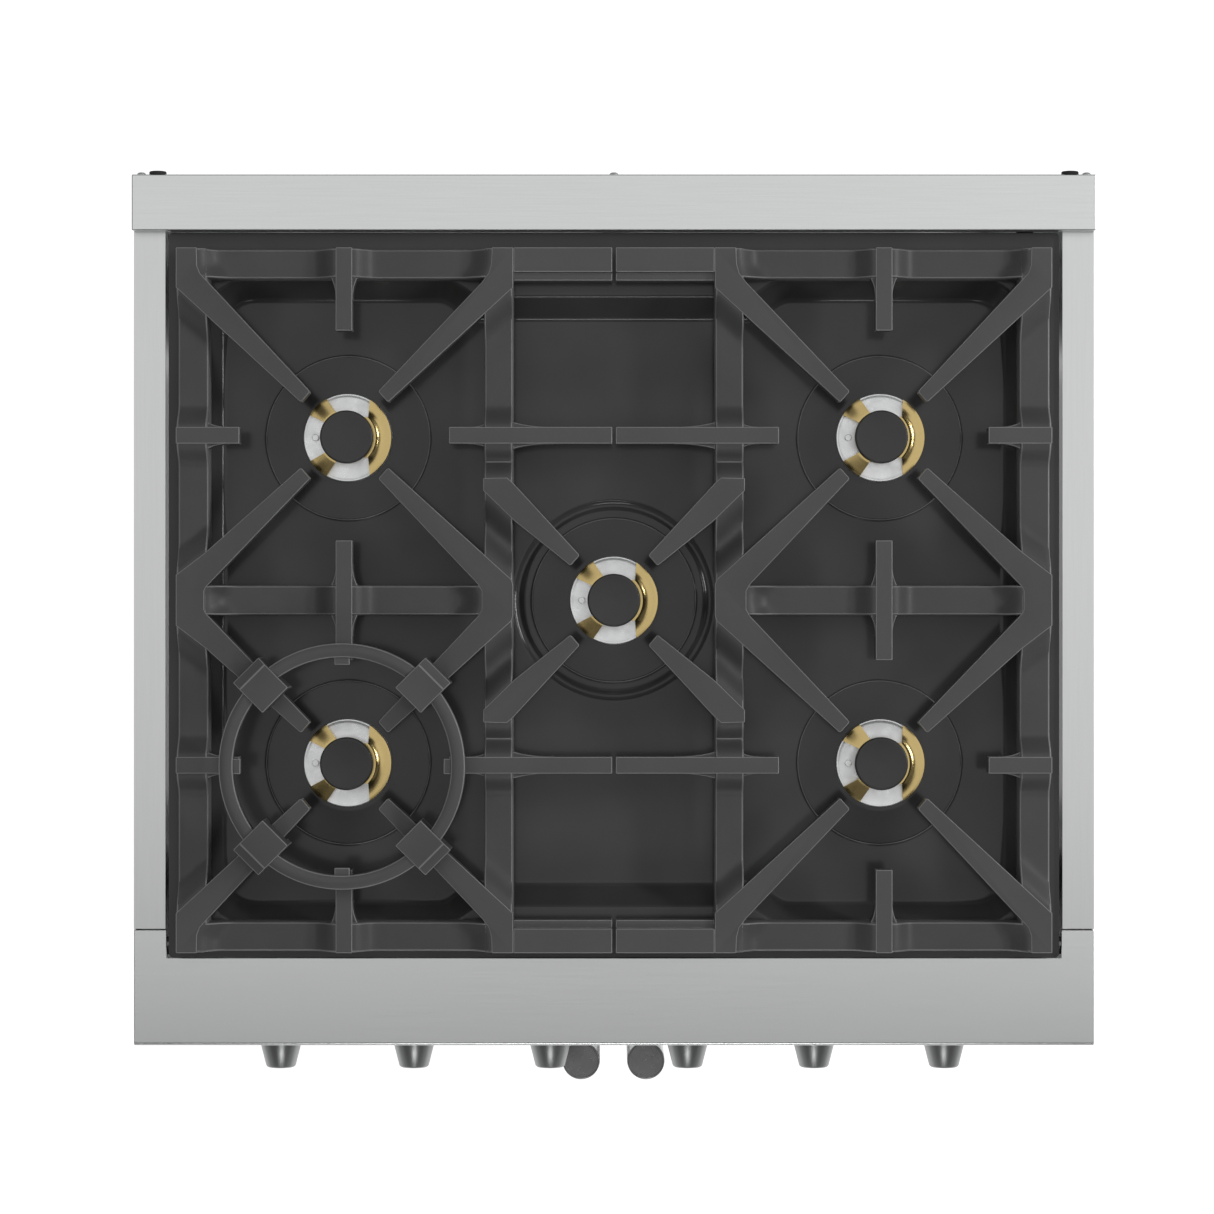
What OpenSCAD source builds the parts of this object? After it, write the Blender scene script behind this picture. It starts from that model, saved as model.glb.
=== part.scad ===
// Freestanding gas range, 30 inch class, with French oven doors and five burners.
// Origin: centre of the footprint on the floor. +Z up, the front faces -Y, +X to the right.

/* [Body] */
// Overall width over the side panels
body_w = 760; // [755:1:765]
// Depth from the ledge front to the back of the rear trim
body_d = 688; // [684:1:692]
// Height of the side strips and the front ledge above the floor
cooktop_z = 914; // [910:1:920]
// Height of the base frame's underside above the floor
leg_h = 100; // [96:1:104]
// Sheet metal thickness of the body
sheet = 1.5; // [1.2:0.1:1.6]
// Height of the rear trim above the side strips
trim_rise = 14; // [12:1:16]
// Depth of the rear trim
trim_d = 44; // [42:1:46]
// How far the wall bumpers stand behind the rear trim
bumper_proud = 3; // [2:0.5:4]

/* [Cooktop] */
// Half distance between the left and right burner columns
burner_dx = 212; // [210:1:214]
// Half distance between the front and rear burner rows
burner_dy = 129.5; // [128:0.5:131]
// Height of the tray flange below the side strips
tray_drop = 4; // [3:0.5:5]
// Depth of the tray basin below its flange
tray_depth = 21; // [19:1:23]
// Radius of the raised disc around each burner
disc_r = 66; // [64:1:68]
// Height of the raised discs above the tray floor
disc_rise = 3; // [2.5:0.5:3.5]
// Radius of the burner head's ring
head_r = 35; // [34:0.5:36]
// Radius of the burner cap
cap_r = 21; // [20.5:0.5:21.5]

/* [Grates] */
// Height of the grate's bars above the strips
grate_rise = 24; // [22:1:26]

/* [Front] */
// Height of the knob axes above the floor
knob_z = 789; // [785:1:795]
// Knob radius at its base
knob_r = 24; // [23:0.5:25]
// Knob radius at its front
knob_tip_r = 11.8; // [11:0.2:13]
// Radius of the door handle bars
handle_r = 16; // [15:0.5:16]
// Distance from the ledge front to the handle bar axis
handle_out = 38; // [36:1:40]
// Distance of each handle bar from the middle of the range
handle_x = 27.5; // [26:0.5:29]

/* [Oven] */
// Half width of the oven cavity
oven_hw = 300; // [296:1:302]
// Floor of the oven cavity
oven_z0 = 172; // [170:1:180]
// Ceiling of the oven cavity
oven_z1 = 698; // [690:1:700]
// Door height
door_h = 602; // [598:1:602]

/* [Hidden] */
$fn = 48;

steel = [0.76, 0.77, 0.77];
enamel = [0.13, 0.13, 0.14];
iron = [0.24, 0.24, 0.25];
brass = [0.80, 0.66, 0.36];
alu = [0.78, 0.79, 0.80];
rubber = [0.07, 0.07, 0.07];

eps = 0.1;                       // gap between neighbouring solids of one body
hw = body_w / 2;
handle_front = handle_out + handle_r;
depth_all = body_d + bumper_proud + handle_front;
back_y = depth_all / 2 - bumper_proud;   // back of the rear trim
front_y = back_y - body_d;               // front of the ledge
handle_y = front_y - handle_out;
cook_y = back_y - body_d / 2 + 8.5;      // middle of the burners and the grates
trim_y = back_y - trim_d;                // front of the rear trim
ledge_y = front_y + 69.5;                // rear edge of the front ledge
ear_y = ledge_y + 22;                    // rear edge of the ledge's ears
frame_y = front_y + 66;                  // front face of the oven's front frame
frame_t = 4;
panel_y = front_y + 18.5;                // front face of the control panel
panel_z0 = 738;
ledge_z0 = 884;                          // underside of the front ledge
door_y = front_y + 17;                   // front face of the doors
door_back_y = door_y + 45;
door_z0 = 128;
door_z1 = door_z0 + door_h;
door_gap = 1.5;                          // half the gap between the doors
pivot_x = hw - 14;
pivot_y = door_y + 16.5;
pin_r = 5;
run_gap = 0.05;                          // radial clearance of a running fit
strip_w = 25;
flange_z = cooktop_z - tray_drop;
floor_z = flange_z - tray_depth;
seat_z = floor_z + disc_rise;            // top of the raised discs, which carry the burners
tray_t = 1.2;
tray_hw = hw - strip_w - 2;
basin_hw = 316;
basin_y0 = cook_y - 246;
basin_y1 = cook_y + 244;
grate_z = cooktop_z + grate_rise;        // top of the fingers
finger_h = 16;
bar_z0 = flange_z + 0.3;                 // underside of the grate's bars
bar_z1 = grate_z - 12;                   // top of the dipped bars
base_h = 24;
base_z1 = leg_h + base_h;
knob_x = [-275, -165, -52.5, 61, 165.5, 273];
bezel_h = 5;
knob_back_y = panel_y - 3.8;             // base of the knobs, inside the bezels
knob_len = 47.7;
stem_r = 4;
valve_y0 = panel_y + 10;                 // front of the valve bodies
valve_y1 = valve_y0 + 35;
manifold_y = valve_y1 + 12;
tube_z = 850;                            // level of the burner supply tubes
liner_y1 = cook_y + 216;                 // inside of the oven's rear wall
rack_z = [500, 340];                     // ledges that hold the two racks
rack_hw = 285;
rack_y0 = cook_y - 209;
rack_y1 = cook_y + 211;
kick_y = frame_y + 28;
foot_x = 330;
foot_y = [frame_y + 62, back_y - 60];
inlet_x = 300;
inlet_y = back_y - 35;
riser_x = 340;
pipe_r = 10.65;                          // half inch pipe thread

// burner centres: rear left, rear right, front left, front right, centre
burners = [
    [-burner_dx, cook_y + burner_dy], [burner_dx, cook_y + burner_dy],
    [-burner_dx, cook_y - burner_dy], [burner_dx, cook_y - burner_dy],
    [0, cook_y]
];

// ---- helpers ----
module block(x0, x1, y0, y1, z0, z1) translate([x0, y0, z0]) cube([x1 - x0, y1 - y0, z1 - z0]);
module rod_x(x0, x1, y, z, r) translate([x0, y, z]) rotate([0, 90, 0]) cylinder(h = x1 - x0, r = r);
module rod_y(x, y0, y1, z, r) translate([x, y0, z]) rotate([-90, 0, 0]) cylinder(h = y1 - y0, r = r);
module rod_z(x, y, z0, z1, r) translate([x, y, z0]) cylinder(h = z1 - z0, r = r);
module frame_y_plate(x0, x1, y0, y1, z0, z1, in_x, in_z0, in_z1)
    difference() {
        block(x0, x1, y0, y1, z0, z1);
        block(-in_x, in_x, y0 - 1, y1 + 1, in_z0, in_z1);
    }
module both_sides() { children(); mirror([1, 0, 0]) children(); }
module at_side(s) { if (s > 0) children(); else mirror([1, 0, 0]) children(); }
module rounded(x0, x1, y0, y1, r) {
    translate([x0 + r, y0]) square([x1 - x0 - 2 * r, y1 - y0]);
    translate([x0, y0 + r]) square([x1 - x0, y1 - y0 - 2 * r]);
    for (x = [x0 + r, x1 - r], y = [y0 + r, y1 - r]) translate([x, y]) circle(r);
}

// ---- body ----
module side_panel(s) color(steel) at_side(s) {
    block(hw - sheet, hw, frame_y, ledge_y + eps, leg_h + 2, ledge_z0 - eps);
    block(hw - sheet, hw, ledge_y + eps, ear_y + 1, leg_h + 2, cooktop_z - sheet - eps);
    block(hw - sheet, hw, ear_y + 1, back_y - 3, leg_h + 2, cooktop_z - eps);
    block(hw - strip_w, hw, ear_y + 1, trim_y - eps, cooktop_z - sheet, cooktop_z);
}
module side_panel_left() side_panel(-1);
module side_panel_right() side_panel(1);

module back_panel() color(steel) difference() {
    block(-hw + sheet + eps, hw - sheet - eps, back_y - 3.5, back_y - 2, base_z1 + eps, cooktop_z - 2);
    translate([-inlet_x, 0, 210]) block(-26, 26, back_y - 5, back_y, -19, 19);
}

module base_frame() color(steel) difference() {
    block(-hw + sheet + eps, hw - sheet - eps, frame_y, back_y - 3.6, leg_h, base_z1);
    for (s = [-1, 1])
        block(s * 180 - 165, s * 180 + 165, frame_y + 30, back_y - 80, leg_h - 1, base_z1 + 1);
    rod_z(inlet_x, inlet_y, leg_h - 1, base_z1 + 1, pipe_r + 3);
}

module rear_trim() color(steel) difference() {
    block(-hw, hw, trim_y, back_y, cooktop_z + eps, cooktop_z + trim_rise);
    block(-hw + sheet, hw - sheet, trim_y + sheet, back_y - sheet, cooktop_z - 1, cooktop_z + trim_rise - sheet);
}

// Side view of the ledge: flat top, folded front edge and a straight apron.
nose_r = 2.5;            // outer radius of the fold
function arc(cy, cz, r, a0, a1, n) =
    [for (i = [0:n]) let (a = a0 + (a1 - a0) * i / n) [cy + r * cos(a), cz + r * sin(a)]];
function nose_line(t) = concat(
    arc(front_y + nose_r, cooktop_z - nose_r, nose_r - t, 90, 180, 6),
    [[front_y + t, ledge_z0 + t]]);
module ledge_outline() polygon(concat(
    [[ledge_y, cooktop_z]], nose_line(0), [[ledge_y, ledge_z0]]));
module ledge_hollow() polygon(concat(
    [[ledge_y - sheet, cooktop_z - sheet]], nose_line(sheet),
    [[panel_y + 8, ledge_z0 + sheet], [panel_y + 8, ledge_z0 - 1], [ledge_y - sheet, ledge_z0 - 1]]));
module along_x(x0, x1) translate([x0, 0, 0]) rotate([90, 0, 90]) linear_extrude(x1 - x0) children();
module front_ledge() color(steel) {
    difference() {
        along_x(-hw, hw) ledge_outline();
        along_x(-hw + sheet, hw - sheet) ledge_hollow();
    }
    both_sides() block(tray_hw + 1, hw, ledge_y - eps, ear_y, cooktop_z - sheet, cooktop_z);
}

module control_panel() color(steel) difference() {
    union() {
        block(-hw + sheet, hw - sheet, panel_y, panel_y + sheet, panel_z0, ledge_z0 - eps);
        block(-hw + sheet, hw - sheet, panel_y, panel_y + 44, panel_z0, panel_z0 + sheet);
        both_sides() block(hw - 2 * sheet, hw - sheet, panel_y, panel_y + 44, panel_z0, ledge_z0 - eps);
    }
    for (x = knob_x) rod_y(x, panel_y - 1, panel_y + 3, knob_z, stem_r + 2.5);
}

module kick_panel() color(steel) {
    block(-hw + 10, hw - 10, kick_y, kick_y + sheet, 22, leg_h - eps);
    block(-hw + 10, hw - 10, kick_y, kick_y + 8, leg_h - sheet - eps, leg_h - eps);
}

module feet() color(steel) for (s = [-1, 1], y = foot_y) {
    rod_z(s * foot_x, y, 0, 12, 19);
    rod_z(s * foot_x, y, 11, 24, 10);
    rod_z(s * foot_x, y, 24, leg_h, 24);
}

module rear_screws() color(alu) for (x = [-hw + 7, 0, hw - 7]) {
    rod_y(x, back_y, back_y + 2.4, cooktop_z + 7, 3.5);
}

bumper_r = 6.8;
module wall_bumpers() color(rubber)
    both_sides() rod_y(hw - 20, back_y, back_y + bumper_proud, cooktop_z + trim_rise - bumper_r, bumper_r);

// ---- cooktop ----
disc_step = 1.2;         // upright edge of a disc, below its shallow cone
seat_r = 38;             // flat top of the cone
module burner_disc(b, under) translate([b[0], b[1], floor_z - under]) {
    translate([0, 0, -1]) cylinder(h = disc_step + 1, r = disc_r - under);
    translate([0, 0, disc_step]) cylinder(h = disc_rise - disc_step, r1 = disc_r - under, r2 = seat_r - under);
}
module spill_tray() color(enamel) difference() {
    union() {
        difference() {
            union() {
                block(-tray_hw, tray_hw, ledge_y, trim_y - eps, flange_z - tray_t, flange_z);
                translate([0, 0, floor_z - tray_t]) linear_extrude(tray_depth + 0.6)
                    rounded(-basin_hw - tray_t, basin_hw + tray_t, basin_y0 - tray_t, basin_y1 + tray_t, 24);
            }
            translate([0, 0, floor_z]) linear_extrude(tray_depth + 1)
                rounded(-basin_hw, basin_hw, basin_y0, basin_y1, 23);
        }
        for (b = burners) burner_disc(b, 0);
    }
    for (b = burners) {
        burner_disc(b, tray_t);
        rod_z(b[0], b[1], floor_z - 5, seat_z + 1, 30.3);
    }
}

electrode_x = -25.5;     // place of the igniter beside each burner's axis
body_h = 5;              // height of a burner body above its disc
module burner_body() difference() {
    union() {
        rod_z(0, 0, seat_z, seat_z + 2, head_r + 1);
        rod_z(0, 0, seat_z + 2, seat_z + body_h, head_r);
        rod_z(0, 0, seat_z - 18, seat_z, 29.5);
    }
    difference() {
        rod_z(0, 0, seat_z + 1, seat_z + body_h + 1, head_r - 2);
        rod_z(0, 0, seat_z, seat_z + body_h + 2, 15);
    }
    rod_z(0, 0, seat_z - 8, seat_z + body_h + 1, 12);
    rod_z(electrode_x, 0, seat_z - 20, seat_z + body_h + 1, 3);
}
module burner_bodies() color(alu) for (b = burners) translate([b[0], b[1], 0]) burner_body();

// Ring with three windows: two spokes at 135 and 225 degrees and a wide segment on the right.
head_z0 = seat_z + body_h + eps;
head_z1 = head_z0 + 8;
module head_window(a0, a1) intersection() {
    difference() { circle(head_r - 1.5); circle(cap_r + 0.3); }
    polygon([[0, 0], [60 * cos(a0), 60 * sin(a0)], [60 * cos((a0 + a1) / 2), 60 * sin((a0 + a1) / 2)],
             [60 * cos(a1), 60 * sin(a1)]]);
}
module burner_head() difference() {
    rod_z(0, 0, head_z0, head_z1, head_r);
    rod_z(0, 0, head_z0 - 1, head_z1 + 1, 14.5);
    translate([0, 0, head_z0 - 1]) linear_extrude(12) {
        difference() {
            union() { head_window(55, 119); head_window(-119, -55); }
            translate([17.4, -50]) square([40, 100]);
        }
        head_window(151, 209);
    }
}
module burner_heads() color(brass) for (b = burners) translate([b[0], b[1], 0]) burner_head();

module igniter_electrodes() color([0.9, 0.9, 0.88])
    for (b = burners) rod_z(b[0] + electrode_x, b[1], seat_z - 16, seat_z + 7, 2.6);

module burner_cap(i) color(enamel) translate([burners[i][0], burners[i][1], 0]) {
    rod_z(0, 0, head_z1 - 6, head_z1 + 1, 14);
    rod_z(0, 0, head_z1 + eps, head_z1 + 6, cap_r);
    translate([0, 0, head_z1 + 6]) cylinder(h = 2, r1 = cap_r, r2 = cap_r - 2);
}
module cap_rear_left() burner_cap(0);
module cap_rear_right() burner_cap(1);
module cap_front_left() burner_cap(2);
module cap_front_right() burner_cap(3);
module cap_centre() burner_cap(4);

// ---- grates: outlines of the left grate's rear half, from the middle of the cooktop ----
cell_x = -burner_dx;
finger_w = 13.2;
divider_x0 = -101;       // lower bar between the side cells and the centre
divider_x1 = -79;
module level(z0, z1) translate([0, 0, z0]) linear_extrude(z1 - z0) children();
module band(x0, x1, y0, y1) translate([x0, y0]) square([x1 - x0, y1 - y0]);
module fingers_2d() {
    // rear corner finger and the one from the rear of the divider
    polygon([[-344, 277], [-327.5, 277], [-327, 261], [-321, 254], [-238.6, 164.5], [-246.4, 155.6], [-344, 245]]);
    polygon([[-96, 277], [-79, 277], [-79, 246], [-177.2, 155.6], [-185, 164.5], [-104, 250], [-97, 262]]);
    // fingers from the middle of the side and of the divider
    polygon([[-344, 0], [-344, 20], [-321, 36], [-246.4, 103.4], [-238.6, 94.5], [-303, 26], [-321, 8], [-321, 0]]);
    polygon([[-79, 0], [-79, 14], [-177.2, 103.4], [-185, 94.5], [-116, 20], [-103, 0]]);
    // straight fingers
    band(cell_x - finger_w / 2, cell_x + finger_w / 2, 211.6, 277);
    band(-344, -294, burner_dy - finger_w / 2, burner_dy + finger_w / 2);
    band(cell_x - finger_w / 2, cell_x + finger_w / 2, 0, 47);
    band(-129.5, -1.2, burner_dy - finger_w / 2, burner_dy + finger_w / 2);
    // finger towards the centre burner
    polygon([[-103, 96], [-83, 96], [-79, 93], [-27.2, 35.2], [-34.2, 27.2], [-79, 63.4], [-103, 86]]);
    // centre bar at the rear
    band(-96, -1.2, 257, 277);
}
module bars_2d() {
    band(-344, -79, 253, 277);
    band(-344, -319, 0, 277);
    band(divider_x0, divider_x1, 0, 277);
    band(-320, -100, 0, 12);
}
module grate_quarter() {
    level(grate_z - finger_h, grate_z) fingers_2d();
    level(bar_z0, bar_z1) bars_2d();
    level(bar_z0, grate_z - finger_h + 1) {
        band(-96, -1.2, 260, 277);
        band(-103, -83, 84, 96);
    }
}
module grate(s) color(iron) translate([0, cook_y, 0]) at_side(-s) {
    grate_quarter();
    mirror([0, 1, 0]) grate_quarter();
}
module grate_left() grate(-1);
module grate_right() grate(1);

// Ring that carries a round-bottomed pan, with four lugs that straddle the corner fingers.
wok_z = grate_z + 25;
wok_ro = 96;
wok_ri = 85;
module wok_ring() color(iron) translate([burners[2][0], burners[2][1], 0]) {
    difference() {
        rod_z(0, 0, wok_z - 13.6, wok_z - 2.4, wok_ro);
        rod_z(0, 0, wok_z - 14, wok_z, wok_ri);
    }
    for (a = [45:90:359]) rotate([0, 0, a]) difference() {
        block(73, 106, -14, 14, grate_z - 12, wok_z);
        block(72, 107, -9.2, 9.2, grate_z - 13, grate_z + 0.3);
        block(99, 107, -15, 15, wok_z - 3, wok_z + 1);
    }
    for (a = [0:90:359]) rotate([0, 0, a]) block(79, wok_ri + 2, -6, 6, wok_z - 10.5, wok_z - 5);
}

// ---- knobs and gas ----
module knob(i) color(steel) difference() {
    translate([knob_x[i], knob_back_y, knob_z]) rotate([90, 0, 0])
        cylinder(h = knob_len, r1 = knob_r, r2 = knob_tip_r);
    rod_y(knob_x[i], knob_back_y - 20.5, knob_back_y + 1, knob_z, stem_r + run_gap);
}
module knob_1() knob(0);
module knob_2() knob(1);
module knob_3() knob(2);
module knob_4() knob(3);
module knob_5() knob(4);
module knob_6() knob(5);

module knob_stem(i) color(alu) rod_y(knob_x[i], knob_back_y - 20, valve_y0 + 22, knob_z, stem_r);
module knob_stem_1() knob_stem(0);
module knob_stem_2() knob_stem(1);
module knob_stem_3() knob_stem(2);
module knob_stem_4() knob_stem(3);
module knob_stem_5() knob_stem(4);
module knob_stem_6() knob_stem(5);

module knob_bezels() color(steel) for (x = knob_x) difference() {
    union() {
        rod_y(x, panel_y - bezel_h, panel_y, knob_z, knob_r + 4.5);
        rod_y(x, panel_y - 2, panel_y, knob_z, knob_r + 6.5);
    }
    rod_y(x, panel_y - bezel_h - 1, panel_y + 1, knob_z, knob_r + 1.2);
}

module gas_valves() color(brass) for (x = knob_x) difference() {
    union() {
        block(x - 13, x + 13, valve_y0, valve_y1, knob_z - 16, knob_z + 14);
        rod_z(x, valve_y0 + 14, knob_z + 13, knob_z + 20, 6);
    }
    rod_y(x, valve_y0 - 1, valve_y0 + 27, knob_z, stem_r + run_gap);
}

module gas_manifold() color(steel) {
    rod_x(knob_x[0] - 25, riser_x + 14, manifold_y, knob_z, 10);
    for (x = knob_x) rod_y(x, valve_y1 + eps, manifold_y, knob_z, 7);
}

// One tube per burner: up from its valve, back to the burner, across and up.
tube_r = 4;
tube_knob = [1, 4, 0, 5, 2];
oven_tube_y = liner_y1 + 25;
bake_z = 194;
broil_z = oven_z1 - 26;
module burner_tube(b, kx) {
    y0 = valve_y0 + 14;
    rod_z(kx, y0, knob_z + 20 + eps, tube_z, tube_r);
    translate([kx, y0, tube_z]) sphere(tube_r);
    rod_y(kx, y0, b[1], tube_z, tube_r);
    translate([kx, b[1], tube_z]) sphere(tube_r);
    rod_x(min(kx, b[0]), max(kx, b[0]), b[1], tube_z, tube_r);
    translate([b[0], b[1], tube_z]) sphere(tube_r);
    rod_z(b[0], b[1], tube_z, seat_z - 18 - eps, tube_r);
}
module oven_tube(kx) {
    y0 = valve_y0 + 14;
    rod_z(kx, y0, knob_z + 20 + eps, tube_z - 20, tube_r);
    translate([kx, y0, tube_z - 20]) sphere(tube_r);
    rod_y(kx, y0, oven_tube_y, tube_z - 20, tube_r);
    translate([kx, oven_tube_y, tube_z - 20]) sphere(tube_r);
    rod_z(kx, oven_tube_y, bake_z, tube_z - 20, tube_r);
    for (z = [bake_z, broil_z]) {
        translate([kx, oven_tube_y, z]) sphere(tube_r);
        rod_y(kx, liner_y1 + 6, oven_tube_y, z, tube_r);
    }
}
module gas_tubes() color(alu) {
    for (i = [0:4]) burner_tube(burners[i], knob_x[tube_knob[i]]);
    oven_tube(knob_x[3]);
}

// Inlet pipe under the rear right corner, pressure regulator and the riser to the manifold.
module gas_inlet() color(steel) {
    rod_z(inlet_x, inlet_y, leg_h - 30, 170, pipe_r);
    block(inlet_x - 24, inlet_x + 24, inlet_y - 26, inlet_y + 26, 168, 212);
    rod_x(inlet_x, riser_x, inlet_y, 192, 8);
    translate([riser_x, inlet_y, 192]) sphere(8);
    rod_z(riser_x, inlet_y, 192, knob_z, 8);
    translate([riser_x, inlet_y, knob_z]) sphere(8);
    rod_y(riser_x, manifold_y + 10 + eps, inlet_y, knob_z, 8);
}

// Socket for the appliance cord, let into the back panel.
module power_inlet() color(rubber) translate([-inlet_x, 0, 210]) {
    difference() {
        union() {
            block(-25.5, 25.5, back_y - 40, back_y - 1.9, -18.5, 18.5);
            block(-31, 31, back_y - 1.9, back_y, -22, 22);
        }
        block(-13, 13, back_y - 20, back_y + 1, -9, 9);
    }
    for (x = [-7, 0, 7]) block(x - 1, x + 1, back_y - 21, back_y - 6, -4, 4);
}

// ---- oven ----
module oven_liner() color(enamel) difference() {
    block(-oven_hw - 2, oven_hw + 2, frame_y + frame_t + eps, liner_y1 + 2, oven_z0 - 2, oven_z1 + 2);
    block(-oven_hw, oven_hw, frame_y, liner_y1, oven_z0, oven_z1);
    for (z = [bake_z, broil_z]) rod_y(knob_x[3], liner_y1 - 1, liner_y1 + 3, z, 7);
    rod_y(-lamp_x, liner_y1 - 1, liner_y1 + 3, lamp_z, 18);
}

module oven_front_frame() color(enamel)
    frame_y_plate(-hw + sheet + eps, hw - sheet - eps, frame_y, frame_y + frame_t,
                  base_z1 + eps, panel_z0 - eps, oven_hw, oven_z0, oven_z1);

module oven_gasket() color(rubber)
    frame_y_plate(-oven_hw - 12, oven_hw + 12, frame_y - 3.6, frame_y,
                  oven_z0 - 12, oven_z1 + 12, oven_hw + 4, oven_z0 - 4, oven_z1 + 4);

ledge_w = 20;
ledge_zs = [260, 340, 420, 500, 580];
module rack_guides() color(steel) both_sides() {
    for (z = ledge_zs) block(oven_hw - ledge_w, oven_hw - eps, rack_y0 - 15, rack_y1 + 3, z - 3, z);
    for (y = [rack_y0 - 10, cook_y, rack_y1 - 8])
        block(oven_hw - 6, oven_hw - eps, y, y + 8, oven_z0 + 50, 620);
}

// A rack: rim, cross wires and lengthwise stays.
wire_r = 2;
rim_r = 3.2;
// The wires are octagonal rods.
module rack(i) color(steel) {
    $fn = 8;
    z = rack_z[i] + rim_r + 0.3;
    for (s = [-1, 1]) rod_y(s * rack_hw, rack_y0 - rim_r, rack_y1 + rim_r, z, rim_r);
    for (y = [rack_y0, rack_y1]) rod_x(-rack_hw, rack_hw, y, z + 0.4, rim_r - 0.6);
    for (k = [1:22]) rod_y(-rack_hw + k * rack_hw * 2 / 23, rack_y0, rack_y1, z + 0.8, wire_r);
    for (y = [rack_y0 + 110, rack_y1 - 110]) rod_x(-rack_hw, rack_hw, y, z - 0.9, wire_r);
}
module rack_upper() rack(0);
module rack_lower() rack(1);

module oven_floor_plate() color(enamel) difference() {
    union() {
        block(-275, 275, rack_y0 - 20, rack_y1, 214, 216);
        both_sides() block(273, 275, rack_y0 - 20, rack_y1, oven_z0 + eps, 215);
    }
    for (s = [-1, 1], y = [-150:60:210])
        block(s * 235 - 8, s * 235 + 8, y, y + 40, 213, 217);
}

bake_x = 90;
module bake_burner() color(steel) {
    both_sides() rod_y(bake_x, rack_y0 + 40, liner_y1 - 40, bake_z, 11);
    for (y = [rack_y0 + 40, liner_y1 - 40]) rod_x(-bake_x, bake_x, y, bake_z, 9);
    rod_y(knob_x[3], liner_y1 - 40, liner_y1 + 6 - eps, bake_z, 6);
    both_sides() block(bake_x - 8, bake_x + 8, cook_y, cook_y + 6, oven_z0 + eps, bake_z - 9);
}
module broil_burner() color(steel) {
    both_sides() rod_y(bake_x, rack_y0 + 60, liner_y1 - 60, broil_z, 9);
    for (y = [rack_y0 + 60, liner_y1 - 60]) rod_x(-bake_x, bake_x, y, broil_z, 7);
    rod_y(knob_x[3], liner_y1 - 60, liner_y1 + 6 - eps, broil_z, 6);
    both_sides() block(bake_x - 8, bake_x + 8, cook_y, cook_y + 6, broil_z + 7, oven_z1 - eps);
}

lamp_x = 200;
lamp_z = 640;
module oven_lamp() color([0.95, 0.93, 0.85]) {
    rod_y(-lamp_x, liner_y1 - 4, liner_y1 - eps, lamp_z, 27);
    rod_y(-lamp_x, liner_y1 - 1, liner_y1 + 22, lamp_z, 17);
    translate([-lamp_x, liner_y1 - 4, lamp_z]) difference() {
        sphere(22);
        block(-30, 30, 0, 30, -30, 30);
    }
}

// ---- doors: drawn for the right side ----
win_x0 = 75;
win_x1 = 315;
win_z0 = 300;
win_z1 = 640;
door_x1 = hw - 2;
skin = 1.5;
inner_y = door_y + 31.6;
module door_panel(s) color(steel) at_side(s) difference() {
    union() {
        difference() {
            block(door_gap, door_x1, door_y, inner_y - eps, door_z0, door_z1);
            block(door_gap + skin, door_x1 - skin, door_y + skin, inner_y + 1, door_z0 + skin, door_z1 - skin);
        }
        for (z = [door_z0, door_z1 - 32]) block(pivot_x - 10, door_x1, door_y, inner_y - eps, z, z + 32);
    }
    block(win_x0, win_x1, door_y - 1, door_y + 10, win_z0, win_z1);
    for (z = [door_z0 - 1, door_z1 - 28]) rod_z(pivot_x, pivot_y, z, z + 29, pin_r + run_gap);
}
module door_inner(s) color(enamel) at_side(s) difference() {
    block(door_gap + skin, door_x1 - skin, inner_y, door_back_y, door_z0 + skin, door_z1 - skin);
    block(door_gap + skin + 10, door_x1 - 11.5, inner_y - 1, door_back_y - skin, door_z0 + 12, door_z1 - 12);
    block(win_x0, win_x1, inner_y - 1, door_back_y + 1, win_z0, win_z1);
}
module door_glass(s) color([0.1, 0.11, 0.12]) at_side(s) {
    block(win_x0 - 12, win_x1 + 12, door_y + skin + eps, door_y + skin + 4, win_z0 - 12, win_z1 + 12);
    block(win_x0 - 10, win_x1 + 10, door_back_y - skin - 5, door_back_y - skin - 1, win_z0 - 10, win_z1 + 10);
}
bar_bottom = 205;
bar_top = 712;
module door_handle(s) color(steel) at_side(s) {
    rod_z(handle_x, handle_y, bar_bottom, bar_top, handle_r);
    for (z = [bar_bottom + 45, bar_top - 45]) rod_y(handle_x, handle_y, door_y, z, handle_r - 3);
}
module door_left_panel() door_panel(-1);
module door_left_inner() door_inner(-1);
module door_left_glass() door_glass(-1);
module door_left_handle() door_handle(-1);
module door_right_panel() door_panel(1);
module door_right_inner() door_inner(1);
module door_right_glass() door_glass(1);
module door_right_handle() door_handle(1);

module door_hinges() color(steel) both_sides() {
    block(pivot_x - 22, door_x1, pivot_y - 12, frame_y - eps, base_z1 + 0.5, door_z0 - 0.5);
    rod_z(pivot_x, pivot_y, base_z1 + 1, door_z0 + 24, pin_r);
    block(pivot_x - 22, door_x1, pivot_y - 12, frame_y - eps, door_z1 + 1.5, panel_z0 - 1.5);
    rod_z(pivot_x, pivot_y, door_z1 - 24, door_z1 + 2, pin_r);
}

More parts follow.
